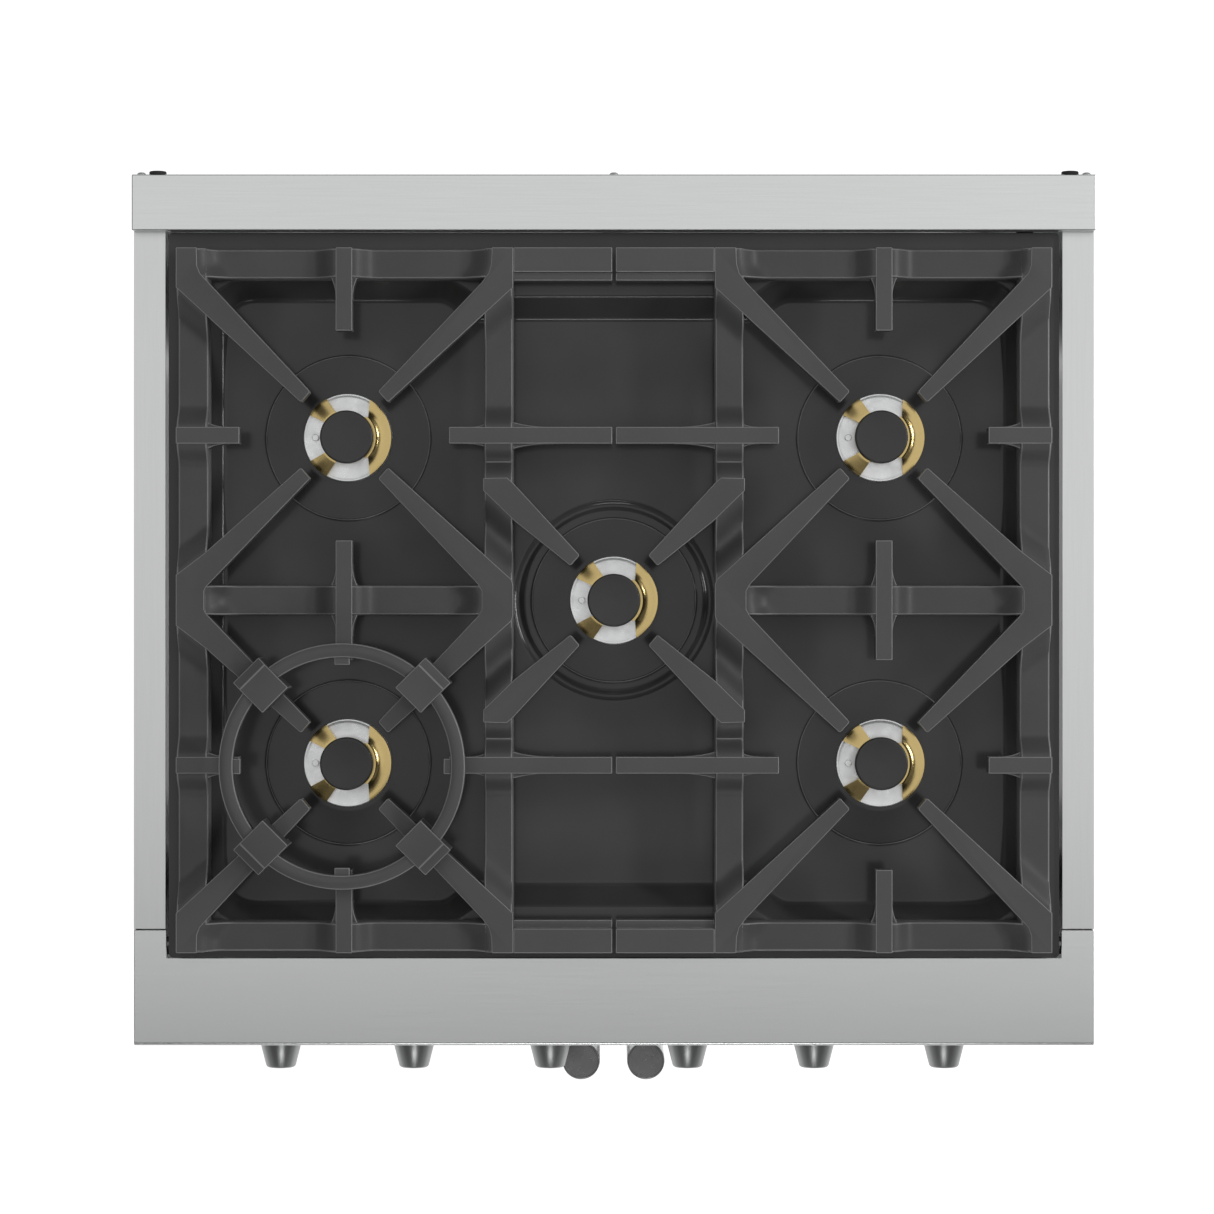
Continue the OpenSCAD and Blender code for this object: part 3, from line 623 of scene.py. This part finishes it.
BASIN_W = 308            # half width of the basin floor
BASIN_REAR, BASIN_FRONT = 236, -238
RIB_REAR, RIB_FRONT = 221, -223   # basin floor edges in the middle, between the grates' dividers
RIB_FOOT, RIB_HEAD = 137, 115     # half widths where those edges start to step in and are in
WALL_FOOT_R, WALL_TOP_R = 7, 5
WALL_LEAN = 52.6         # slope of the basin's wall in degrees
DISC_R = 65.5
DISC_RINGS = 8           # rings of a burner's profile that lie on its disc
MOAT_R = 76
SHEET = 1.2              # thickness of the tray
ROUND = 96               # segments of a full circle


def wall_profile():
    """(distance outwards, height) of the basin wall: fillet, slope, fillet."""
    height = FLANGE_Z - FLOOR_Z
    lean = math.radians(WALL_LEAN)
    both = WALL_FOOT_R + WALL_TOP_R
    width = (height - both * (1 - math.cos(lean))) / math.tan(lean) + both * math.sin(lean)
    foot = arc(0, WALL_FOOT_R, WALL_FOOT_R, -90, -90 + WALL_LEAN, 6)
    head = arc(width, height - WALL_TOP_R, WALL_TOP_R, 90 + WALL_LEAN, 90, 6)
    return foot + head


def basin_outline(grow):
    points = [(-BASIN_W, BASIN_FRONT), (-RIB_FOOT, BASIN_FRONT), (-RIB_HEAD, RIB_FRONT),
              (RIB_HEAD, RIB_FRONT), (RIB_FOOT, BASIN_FRONT), (BASIN_W, BASIN_FRONT),
              (BASIN_W, BASIN_REAR), (RIB_FOOT, BASIN_REAR), (RIB_HEAD, RIB_REAR),
              (-RIB_HEAD, RIB_REAR), (-RIB_FOOT, BASIN_REAR), (-BASIN_W, BASIN_REAR)]
    radii = [22, 14, 26, 26, 14, 22] * 2
    return [(x, COOK_Y + y) for x, y in rounded(points, radii, grow, 7)]


def edge_faces(mesh):
    """Number of faces at each edge."""
    count = {}
    for face in mesh.polygons:
        for key in face.edge_keys:
            count[key] = count.get(key, 0) + 1
    return count


def make_tray():
    bm = bmesh.new()

    def ring(points, z):
        return [bm.verts.new((x, y, z)) for x, y in points]

    def skin(lower, upper, material=0):
        n = len(lower)
        for i in range(n):
            face = bm.faces.new((lower[i], lower[(i + 1) % n], upper[(i + 1) % n], upper[i]))
            face.material_index = material

    wall = [ring(basin_outline(d), FLOOR_Z + h) for d, h in wall_profile()]
    for low, high in zip(wall, wall[1:]):
        skin(low, high)
    holes = []
    lip = [(DISC_R + 1.6, 0), (DISC_R + 0.9, 0.1), (DISC_R + 0.4, 0.45), (DISC_R, 0.95), (DISC_R - 0.6, 1.2),
           (DISC_R - 1.6, 1.28), (56, 1.7), (46, 2.35), (39, 2.85), (37, DISC_RISE), (30.4, DISC_RISE)]
    moat = [(MOAT_R + 6.0, 0), (MOAT_R + 4.4, 0.1), (MOAT_R + 3.4, -0.5), (MOAT_R + 1.8, -1.9),
            (MOAT_R, -2.2), (MOAT_R - 1.8, -1.9), (MOAT_R - 3.4, -0.5), (MOAT_R - 4.4, 0.15),
            (MOAT_R - 6.5, 0.05)]
    for name, at in BURNERS.items():
        profile = moat + lip if name == "centre" else lip
        rings = [ring(circle(at.x, at.y, r, ROUND), FLOOR_Z + h) for r, h in profile]
        # the strip round each disc's rounded rim takes the lighter iron: a painted highlight line
        rim = len(profile) - DISC_RINGS
        for k, (outer, inner) in enumerate(zip(rings, rings[1:])):
            skin(inner, outer, 0 if k < rim else 2 if k == rim else 1)
        holes.append(rings[0])
    fill_plane(bm, [wall[0]] + holes)
    edge = rounded(rect(TRAY_LO.x, TRAY_HI.x, TRAY_LO.y, TRAY_HI.y), [3] * 4, -0.1, 3)
    fill_plane(bm, [ring(edge, FLANGE_Z), wall[-1]])
    bmesh.ops.scale(bm, vec=(MM, MM, MM), verts=bm.verts)
    bmesh.ops.recalc_face_normals(bm, faces=bm.faces)
    if sum(f.normal.z * f.calc_area() for f in bm.faces) < 0:
        bmesh.ops.reverse_faces(bm, faces=bm.faces)
    mesh = bpy.data.meshes.new("tray")
    bm.to_mesh(mesh)
    bm.free()
    smooth(mesh, 50)
    open_edges = {key for key, faces in edge_faces(mesh).items() if faces == 1}
    for line in mesh.edges:
        if line.key in open_edges:
            line.use_edge_sharp = True
    obj = new_object("tray", mesh)
    # the third material, the lighter iron, paints the highlight on the disc rims
    for material in (ENAMEL, DISC, IRON_HIGHLIGHT):
        mesh.materials.append(material)
    thick = obj.modifiers.new("sheet", "SOLIDIFY")
    thick.thickness = SHEET * MM
    thick.offset = -1
    obj.modifiers.new("normals", "WEIGHTED_NORMAL").keep_sharp = True
    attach(obj, "root")
    stand_in(obj, "spill_tray")


make_tray()


# ---- burners: turned profiles in millimetres, from each piece's foot ----
WINDOW_IN, WINDOW_OUT = 20, 36    # radii of a head's windows
CHORD_X, STEP_Y = 16.8, 16        # straight right side of the two large windows, and their step
BOWL_HALF, BOWL_BLEND = 61, 20    # degrees from +X that the head's low side covers, and its run-out
CUP = [(4, -18), (29.3, -18), (29.3, -0.3), (34.6, -0.3), (35.2, 0.1), (35.4, 0.5), (35.4, 1.4),
       (35.2, 1.8), (35, 2.0), (34.9, 2.6), (34.9, 4.5), (34.7, 4.9), (34.3, 5), (33.9, 4.98),
       (33.5, 4.9), (33.0, 4.75), (32.4, 4.6), (31.6, 4.5), (16, 4.5), (15.4, 4.6), (15, 4.75),
       (14.6, 4.9), (14.2, 5), (12.4, 5), (12, 4.5), (12, -8), (4, -8)]
HEAD_FOOT = [(14.5, 0), (34.7, 0), (35, 0.4), (35, 4.5)]
HEAD_PLAIN = [(34.9, 4.85), (34.6, 5.0), (32, 5.66), (30.6, 5.95), (29.4, 6.24), (28.2, 6.52),
              (27, 6.81), (26, 7.05), (25.2, 7.24), (24.6, 7.38), (24.1, 7.5), (23.7, 7.6),
              (23.3, 7.69), (22.8, 7.81), (22, 8.0), (14.5, 8.0)]
HEAD_BOWL = [(34.9, 4.62), (34.6, 4.7), (32, 4.72), (31.2, 4.74), (30.2, 4.79), (29.3, 4.88),
             (28.4, 5.02), (27.5, 5.23), (26.7, 5.49), (25.9, 5.83), (25.1, 6.24), (24.5, 6.62),
             (23.9, 7.07), (23.4, 7.5), (22.9, 8.0), (14.5, 8.0)]
CAP_LID = [(0, -5.8), (13.2, -5.8), (13.8, -5.2), (13.8, 0.1), (19.8, 0.1), (20.7, 0.5), (21, 1.2),
           (21, 6.6), (20.8, 7.3), (20.3, 7.8), (19.6, 8.0), (18.8, 7.9), (10, 7.45), (3, 7.15),
           (0, 7.05)]


def carved(obj, cutters):
    """Cuts prisms out of a piece and applies the result."""
    for shell in cutters:
        mesh = bpy.data.meshes.new("cutter")
        mesh.from_pydata([Vector(v) * MM for v in shell.verts], [], shell.faces)
        tool = new_object("cutter", mesh)
        cut = obj.modifiers.new("cut", "BOOLEAN")
        cut.object = tool
        cut.operation = "DIFFERENCE"
        cut.solver = "EXACT"
        bpy.context.view_layer.update()
        solid = bpy.data.meshes.new_from_object(obj.evaluated_get(bpy.context.evaluated_depsgraph_get()))
        obj.modifiers.clear()
        obj.data = solid
        bpy.data.objects.remove(tool)
    smooth(obj.data, 32)


def head_windows(x, y, z0, z1):
    """Top, left and bottom windows of a burner head."""
    upper = ([(12, STEP_Y), (CHORD_X, STEP_Y)] + arc(0, 0, WINDOW_OUT, 60.2, 118.5, 10) +
             arc(0, 0, WINDOW_IN, 113.6, 53.1, 10))
    left = arc(0, 0, WINDOW_OUT, 149.5, 212.4, 10) + arc(0, 0, WINDOW_IN, 215.5, 145.6, 10)
    for outline in (upper, left, flipped(upper)):
        shell = Shell()
        shell.prism([(x + u, y + v) for u, v in outline], z0, z1)
        yield shell


def head_ring(at, foot_z):
    """Brass head before its windows are cut: a plain cone that sinks to a bowl on the right."""
    sides, sweep = 120, []
    for k in range(sides):
        angle = TAU * k / sides
        off = abs(math.degrees((angle + math.pi) % TAU - math.pi))
        bowl = 1 - ease((off - BOWL_HALF) / BOWL_BLEND)
        profile = HEAD_FOOT + [(r0 + (r1 - r0) * bowl, h0 + (h1 - h0) * bowl)
                               for (r0, h0), (r1, h1) in zip(HEAD_PLAIN, HEAD_BOWL)]
        sweep.append([(at.x + r * math.cos(angle), at.y + r * math.sin(angle), foot_z + h)
                      for r, h in profile])
    ring = Shell()
    ring.loft(sweep, close=True)
    return ring


def make_burner(name, at):
    head_z = SEAT_Z + CUP_RISE
    cup, lid = Shell(), Shell()
    cup.lathe(CUP, (at.x, at.y, SEAT_Z), ROUND, close=True)
    if name == "centre":     # bar seen through the bottom window
        cup.box((at.x - 17, at.y - 24.6, SEAT_Z + 4.2), (at.x + 17, at.y - 23.4, SEAT_Z + 5.6))
    stand_in(cup.build(f"burner_{name}_body", ALUMINIUM, "root", sharp=40), "burner_bodies")
    head = head_ring(at, head_z).build(f"burner_{name}_head", BRASS, "root", sharp=66)
    carved(head, head_windows(at.x, at.y, head_z - 1, head_z + 10))
    stand_in(head, "burner_heads")
    lid.lathe(CAP_LID, (at.x, at.y, head_z + HEAD_RISE), ROUND)
    stand_in(lid.build(f"burner_{name}_cap", CAP, f"cap_{name}", sharp=45), f"cap_{name}")


for burner, centre_at in BURNERS.items():
    make_burner(burner, centre_at)


# ---- pan ring: a hoop with four saddle blocks over the fingers and four short tabs ----
HOOP = [(85, -13), (85.6, -13.6), (95.4, -13.6), (96, -13), (96, -3.4), (95.1, -2.4), (85.9, -2.4),
        (85, -3.4)]
# the hoop's upper edge strips take the lighter iron as painted highlights
HOOP_EDGES = (4, 6)      # strips of the hoop that are its upper edges
HOOP_SIDES = 120
SADDLE_W, SLOT_W = 14, 9.3        # half widths of a saddle block and of its slot


def make_wok_ring():
    lo, hi = place("wok_ring")
    centre = (lo + hi) / 2
    top = Vector((centre.x, centre.y, hi.z))
    ring, lugs = Shell(), Shell()
    ring.lathe(HOOP, top, HOOP_SIDES, close=True)
    ring.marked = [k * HOOP_SIDES + i for k in HOOP_EDGES for i in range(HOOP_SIDES)]
    hoop = ring.build("wok_ring_hoop", IRON, "wok_ring", sharp=50, second=IRON_HIGHLIGHT)
    stand_in(hoop, "wok_ring")
    foot = GRATE_TOP - DROP - hi.z
    saddle = GRATE_TOP + 0.4 - hi.z
    slot = [(-SADDLE_W, foot), (-SLOT_W, foot), (-SLOT_W, saddle - 2), (-7.3, saddle), (7.3, saddle),
            (SLOT_W, saddle - 2), (SLOT_W, foot), (SADDLE_W, foot)]
    block = [(r, slot + [(SADDLE_W, edge), (-SADDLE_W, edge)])
             for r, edge in ((73, 0), (98.5, -1.3), (106, -4.2))]
    tab = [(r, [(-6, -10.5), (6, -10.5), (6, -5), (-6, -5)]) for r in (79.2, 87)]
    for sections, offset in ((block, 0.5), (tab, 0)):
        for corner in range(4):
            turn = Matrix.Rotation(TAU * (corner + offset) / 4, 3, "Z")
            lugs.loft([[turn @ Vector((r, v, h)) + top for v, h in section] for r, section in sections],
                      True, True)
    piece = lugs.build("wok_ring_lugs", IRON, "wok_ring")
    # the lugs' rounded edges take the lighter iron as painted highlights
    soften(piece, 0.7, 9, edge=IRON_HIGHLIGHT)
    stand_in(piece, "wok_ring")


make_wok_ring()


# ---- knobs, bezels and printed marks ----
KNOB_TIP = 11.8          # radius of a knob's front end
OVEN_KNOB = "knob_4"
BEZEL = [(25.2, 0), (30.5, 0), (30.5, 1.4), (30.1, 1.9), (29.2, 2.0), (28.6, 2.4), (28.4, 4.2), (27.9, 4.8),
         (27.2, 5.0), (26.2, 5.0), (25.5, 4.8), (25.2, 4.3)]


def make_knob(name):
    """Tapered knob with a groove near its foot, a shallow dimple in its end and a pointer in the dimple."""
    lo, hi = place(name)
    x, z = (lo.x + hi.x) / 2, (lo.z + hi.z) / 2
    back, length = hi.y, hi.y - lo.y
    wide = (hi.x - lo.x) / 2

    def cone(h):
        return wide + (KNOB_TIP - wide) * h / length

    end = cone(length)
    shell, mark = Shell(), Shell()
    shell.lathe([(4.2, 0), (wide - 0.9, 0), (wide - 0.25, 0.3), (cone(0.9), 0.9), (cone(3.0), 3.0),
                 (cone(3.4) - 0.35, 3.4), (cone(4.0) - 0.35, 4.0), (cone(4.4), 4.4), (cone(16), 16),
                 (cone(30), 30), (cone(length - 1.6), length - 1.6), (end - 0.35, length - 0.7),
                 (end - 1.3, length - 0.15), (end - 2.2, length), (7.6, length - 0.35),
                 (7.2, length - 1.1), (0, length - 1.0)],
                (x, back, z), ROUND, "Y")
    stand_in(shell.build(name, KNOB_STEEL, name, sharp=50), name)
    wedge = [(-1.4, -5.2), (1.4, -5.2), (0.4, 6.8), (-0.4, 6.8)]
    mark.loft([[(x + u, back - h, z + v) for u, v in wedge] for h in (length - 1.6, length - 0.5)],
              True, True)
    mark.build(name + "_pointer", PLASTIC, name)


def tick(shell, spot, angle, half_wide, inner, outer):
    """Printed mark on the panel, along a radius from spot."""
    u = Vector((math.cos(angle), 0, math.sin(angle)))
    v = Vector((-u.z, 0, u.x)) * half_wide
    shell.loft([[spot + u * inner + v + y, spot + u * outer + v + y, spot + u * outer - v + y,
                 spot + u * inner - v + y] for y in (Vector((0, 0.2, 0)), Vector((0, -0.15, 0)))], True, True)


def make_bezels():
    face = place("knob_bezels")[1].y
    rings, marks = Shell(), Shell()
    for name in KNOBS:
        at = middle(name)
        spot = Vector((at.x, face, at.z))
        rings.lathe(BEZEL, spot, ROUND, "Y", close=True)
        oven = name == OVEN_KNOB
        stops, sweep = (11, 300) if oven else (8, 210)
        for k in range(stops):
            half_wide = 0.5 if oven else 0.35 + 0.55 * (1 - k / stops)
            angle = math.radians(90 + sweep * k / (stops - 1))
            tick(marks, spot, angle, half_wide, 33.5, 37.5 if k else 39.5)
    stand_in(rings.build("knob_bezels", SATIN, "root", sharp=50), "knob_bezels")
    marks.build("knob_marks", PLASTIC, "root", sharp=30)


for knob in KNOBS:
    make_knob(knob)
make_bezels()


# ---- door handles ----
POST_INSET = 45          # from the bar's ends to its posts


def make_handle(side):
    lo, hi = place(f"door_{side}_handle")
    x, r = (lo.x + hi.x) / 2, (hi.x - lo.x) / 2
    y = lo.y + r
    reach, long = hi.y - y, hi.z - lo.z
    bar_shell, posts = Shell(), Shell()
    foot = [(0, 0.4), (r - 2.2, 0.4), (r - 2.0, 0.1), (r - 1.6, 0), (r - 0.7, 0.25), (r - 0.15, 0.9),
            (r, 1.8)]
    bar_shell.lathe(foot + [(q, long - h) for q, h in reversed(foot)], (x, y, lo.z), ROUND)
    for z in (lo.z + POST_INSET, hi.z - POST_INSET):
        posts.lathe([(0, -6), (11.5, -6), (11.5, -reach + 9), (11.7, -reach + 6.5), (12.2, -reach + 5),
                     (12.9, -reach + 4), (13, -reach + 0.6), (12.6, -reach), (0, -reach)],
                    (x, y, z), axis="Y")
        posts.lathe([(11.4, -r + 2), (12.6, -r + 0.6), (12.6, -r - 2.4), (12.2, -r - 2.9), (11.4, -r - 3)],
                    (x, y, z), axis="Y", close=True)
    pieces = [shell.build(f"door_{side}_handle_{name}", SATIN, f"door_{side}", sharp=50)
              for shell, name in ((bar_shell, "bar"), (posts, "posts"))]
    for piece in pieces:
        stand_in(piece, f"door_{side}_handle")
    ends = pieces[0].data
    ends.materials.append(turned(f"handle_end_{side}", (0.21, 0.21, 0.21), 0.3, x, y))
    for face in ends.polygons:
        if abs(face.normal.z) > 0.9:
            face.material_index = 1


make_handle("left")
make_handle("right")


# ---- oven racks: rim, cross wires and two stays of round wire ----
RIM_R, WIRE_R = 3.1, 2.0
RACK_WIRES = 22
STAY_INSET = 110


def make_rack(name):
    lo, hi = place(name)
    z = lo.z + RIM_R + 0.1
    x0, x1, y0, y1 = lo.x + RIM_R, hi.x - RIM_R, lo.y + RIM_R, hi.y - RIM_R
    shell = Shell()
    shell.hoop([(x, y, z) for x, y in rounded(rect(x0, x1, y0, y1), [14] * 4, 0, 8)], RIM_R, 14)
    for k in range(1, RACK_WIRES + 1):
        x = x0 + (x1 - x0) * k / (RACK_WIRES + 1)
        shell.rod((x, y0 - 0.6, z + 0.9), (x, y1 + 0.6, z + 0.9), WIRE_R)
    for y in (y0 + STAY_INSET, y1 - STAY_INSET):
        shell.rod((x0, y, z - 1.0), (x1, y, z - 1.0), WIRE_R)
    stand_in(shell.build(name, CHROME, name, sharp=60), name)


make_rack("rack_upper")
make_rack("rack_lower")


# ---- feet, screws ----
FOOT_INSET = 24
SOLE = [(0, 0), (18, 0), (19, 0.8), (19, 5.5), (17.6, 7.2), (12.5, 8.6), (11.5, 9.4), (11.5, 11), (0, 11)]
THREAD = [(r, 18 + k + rise) for k in range(12) for r, rise in ((8.4, 0), (9.4, 0.5))]


def make_feet():
    lo, hi = place("feet")
    leg = [(0, 26), (20, 26), (23.2, 26.6), (24, 28), (24, hi.z - 1), (23, hi.z), (0, hi.z)]
    shell = Shell()
    for x in (lo.x + FOOT_INSET, hi.x - FOOT_INSET):
        for y in (lo.y + FOOT_INSET, hi.y - FOOT_INSET):
            shell.lathe(SOLE, (x, y, 0), 48)
            shell.prism(circle(x, y, 14.5, 6), 10.5, 18)
            shell.lathe([(0, 17)] + THREAD + [(8.4, 30), (0, 30)], (x, y, 0), 32)
            shell.lathe(leg, (x, y, 0), 48)
    stand_in(shell.build("feet", ZINC, "root", sharp=35), "feet")


def screw(shell, centre, r, high):
    """Pan head with a dimple, facing the rear."""
    shell.lathe([(0, 1), (r, 1), (r, -0.35 * high), (r * 0.94, -0.62 * high), (r * 0.78, -0.86 * high),
                 (r * 0.5, -0.98 * high), (r * 0.42, -high), (r * 0.3, -0.7 * high), (r * 0.12, -0.5 * high),
                 (0, -0.45 * high)], centre, 24, "Y")


def make_screws():
    lo, hi = place("rear_screws")
    head_r = 3.5
    shell = Shell()
    for x in (lo.x + head_r, 0, hi.x - head_r):
        screw(shell, (x, TRIM_Y, (lo.z + hi.z) / 2), head_r, 2.3)
    stand_in(shell.build("rear_screws", ZINC, "root", sharp=40), "rear_screws")


make_feet()
make_screws()


# ---- pressed and fitted details of the sheet metal ----
def frame_loop(shell, x0, x1, z0, z1, radius, profile, y):
    """Closed moulding round an upright rectangle; the profile holds (outwards, depth) pairs."""
    outline = rect(x0, x1, z0, z1)
    shell.loft([[(x, y + d, z) for x, z in rounded(outline, [radius] * 4, grow)]
                for grow, d in profile], close=True)


def louvre(shell, x, y, z, length, out):
    """Pressed air slot, open below; out is its signed height over the sheet."""
    section = [(-0.3, 4.4), (0.25, 4.0), (0.62, 2.6), (0.85, 0.8), (0.97, -1.6), (1.0, -3.6), (0.85, -4.0),
               (0.5, -4.0), (-0.3, -4.0)]
    rise = [(0, 0.06), (1.2, 0.5), (3, 0.82), (6, 1)]
    stops = rise + [(length - u, k) for u, k in reversed(rise)]
    shell.loft([[(x + u, y + out * d * (k if d > 0 else 1), z + h) for d, h in section]
                for u, k in stops], True, True)


BEAD = [(-7, -0.3), (-7, 0.05), (-4.6, 0.5), (-2.4, 1.15), (0, 1.4), (2.4, 1.15), (4.6, 0.5), (7, 0.05),
        (7, -0.3)]
TRIM_BEAD = [(-2.4, 1.3), (-2.4, -0.3), (-1.9, -0.9), (-0.9, -1.3), (0.4, -1.4), (3.2, -1.4),
             (4.1, -1.1), (4.6, -0.5), (4.6, 0.2), (-1.0, 0.2)]
FRIT = [(-1.5, 1.5), (-1.5, 1.25), (-17, 1.25), (-17, 1.5)]


def make_back_details():
    """Raised beads, air slots and screw heads of the back panel."""
    lo, hi = place("back_panel")
    y = hi.y
    screw_r, screw_high = 4.2, 1.6
    first_z, last_z = lo.z + 40, hi.z - 40        # lowest and highest screw of each side
    slot_long, slot_step = 88, 17
    beads, vents, heads = Shell(), Shell(), Shell()
    for x0, x1 in ((lo.x + 46, -24), (24, hi.x - 46)):
        frame_loop(beads, x0, x1, lo.z + 190, hi.z - 150, 34, BEAD, y)
    for x in (-250, -150, 50, 150):
        for k in range(4):
            louvre(vents, x, y, hi.z - 60 - slot_step * k, slot_long, 1.7)
    for x in (lo.x + 12, hi.x - 12):
        for k in range(6):
            screw(heads, (x, y, first_z + (last_z - first_z) * k / 5), screw_r, screw_high)
    for x in (-240, -80, 80, 240):
        screw(heads, (x, y, lo.z + 14), screw_r, screw_high)
    for shell, name in ((beads, "back_beads"), (vents, "back_vents"), (heads, "back_screws")):
        shell.build(name, ZINC, "root", sharp=40)


def make_kick_vents():
    lo = place("kick_panel")[0]
    vents = Shell()
    for x in range(-284, 250, 88):
        for z in (lo.z + 26, lo.z + 42):
            louvre(vents, x, lo.y, z, 70, -1.7)
    vents.build("kick_vents", STAINLESS, "root", sharp=40)


def make_window_trim(side):
    """Bead round a door window and the dark border printed on its glass."""
    lo, hi = place(f"door_{side}_glass")
    face = place(f"door_{side}_panel")[0].y
    inset, corner_r = 12, 5
    window = (lo.x + inset, hi.x - inset, lo.z + inset, hi.z - inset, corner_r)
    bead, frit = Shell(), Shell()
    frame_loop(bead, *window, TRIM_BEAD, face)
    frame_loop(frit, *window, FRIT, face)
    bead.build(f"window_{side}_bead", SATIN, f"door_{side}", sharp=40)
    frit.build(f"window_{side}_frit", PLASTIC, f"door_{side}", sharp=40)


make_back_details()
make_kick_vents()
make_window_trim("left")
make_window_trim("right")
for node, (surface, rounding) in CARRIED.items():
    carry(node, surface, rounding)


# ---- floor, light and camera, in metres ----
CAMERA_AT = (-0.0055, 0.0287, 3.714)
SENSOR, FOCAL = 36, 104.9         # millimetres


def make_stage():
    """Pale floor that glows round the range and dims far from it."""
    bm = bmesh.new()
    bmesh.ops.create_grid(bm, x_segments=2, y_segments=2, size=30)
    mesh = bpy.data.meshes.new("floor")
    bm.to_mesh(mesh)
    bm.free()
    floor = new_object("floor", mesh)
    paint, shader = principled("floor_paint", (0.5, 0.5, 0.5), 0.9)
    shader.inputs["Emission Color"].default_value = (1, 1, 1, 1)
    nodes, links = nodes_of(paint)
    spot = nodes.new("ShaderNodeTexCoord")
    away = nodes.new("ShaderNodeVectorMath")
    away.operation = "LENGTH"
    links.new(spot.outputs["Object"], away.inputs[0])
    glow = remap(paint, away.outputs["Value"], (1.2, 5.5), 0.88, 0.38, smooth_step=True)
    links.new(glow, shader.inputs["Emission Strength"])
    bump(paint, shader, noise(paint, 220, 2), 0.02, 0.1)
    mesh.materials.append(paint)


def make_world():
    """Sky that is pale at the horizon and dimmer overhead."""
    world = bpy.data.worlds.new("studio")
    world.use_nodes = True
    nodes, links = nodes_of(world)
    sky = nodes["Background"]
    sky.inputs["Color"].default_value = (1, 1, 1, 1)
    direction = nodes.new("ShaderNodeTexCoord")
    split = nodes.new("ShaderNodeSeparateXYZ")
    links.new(direction.outputs["Generated"], split.inputs["Vector"])
    glow = remap(world, split.outputs["Z"], (0.12, 0.42), 0.46, 0.15, smooth_step=True)
    links.new(glow, sky.inputs["Strength"])
    bpy.context.scene.world = world


def softbox(name, location, target, size, radiance):
    """Area light of a given radiance that the camera doesn't see."""
    light = bpy.data.lights.new(name, "AREA")
    light.shape = "RECTANGLE"
    light.size, light.size_y = size
    light.energy = radiance * 4 * size[0] * size[1]
    obj = new_object(name, light)
    obj.location = location
    obj.rotation_euler = (Vector(target) - Vector(location)).to_track_quat("-Z", "Y").to_euler()
    obj.visible_camera = False


def make_lights():
    softbox("overhead", (0.1, 0.8, 4.2), (0.1, 0.8, 0), (5.2, 3.1), 0.68)
    softbox("overhead_right", (1.6, 0.8, 4.25), (1.6, 0.8, 0), (2.2, 3.1), 0.07)
    softbox("right_strip", (2.9, 0.55, 2.5), (0, 0.1, 0.9), (1.5, 0.32), 19)
    softbox("front_strip", (0.05, -2.4, 2.9), (0, -0.3, 0.8), (0.9, 0.6), 5.0)


def make_camera():
    """Looks straight down on the cooktop."""
    scene = bpy.context.scene
    lens = bpy.data.cameras.new("camera")
    lens.sensor_width = SENSOR
    lens.lens = FOCAL
    lens.clip_end = 60
    eye = new_object("camera", lens)
    eye.location = CAMERA_AT
    scene.camera = eye
    scene.view_settings.view_transform = "Standard"
    scene.view_settings.look = "None"


make_world()
make_stage()
make_lights()
make_camera()
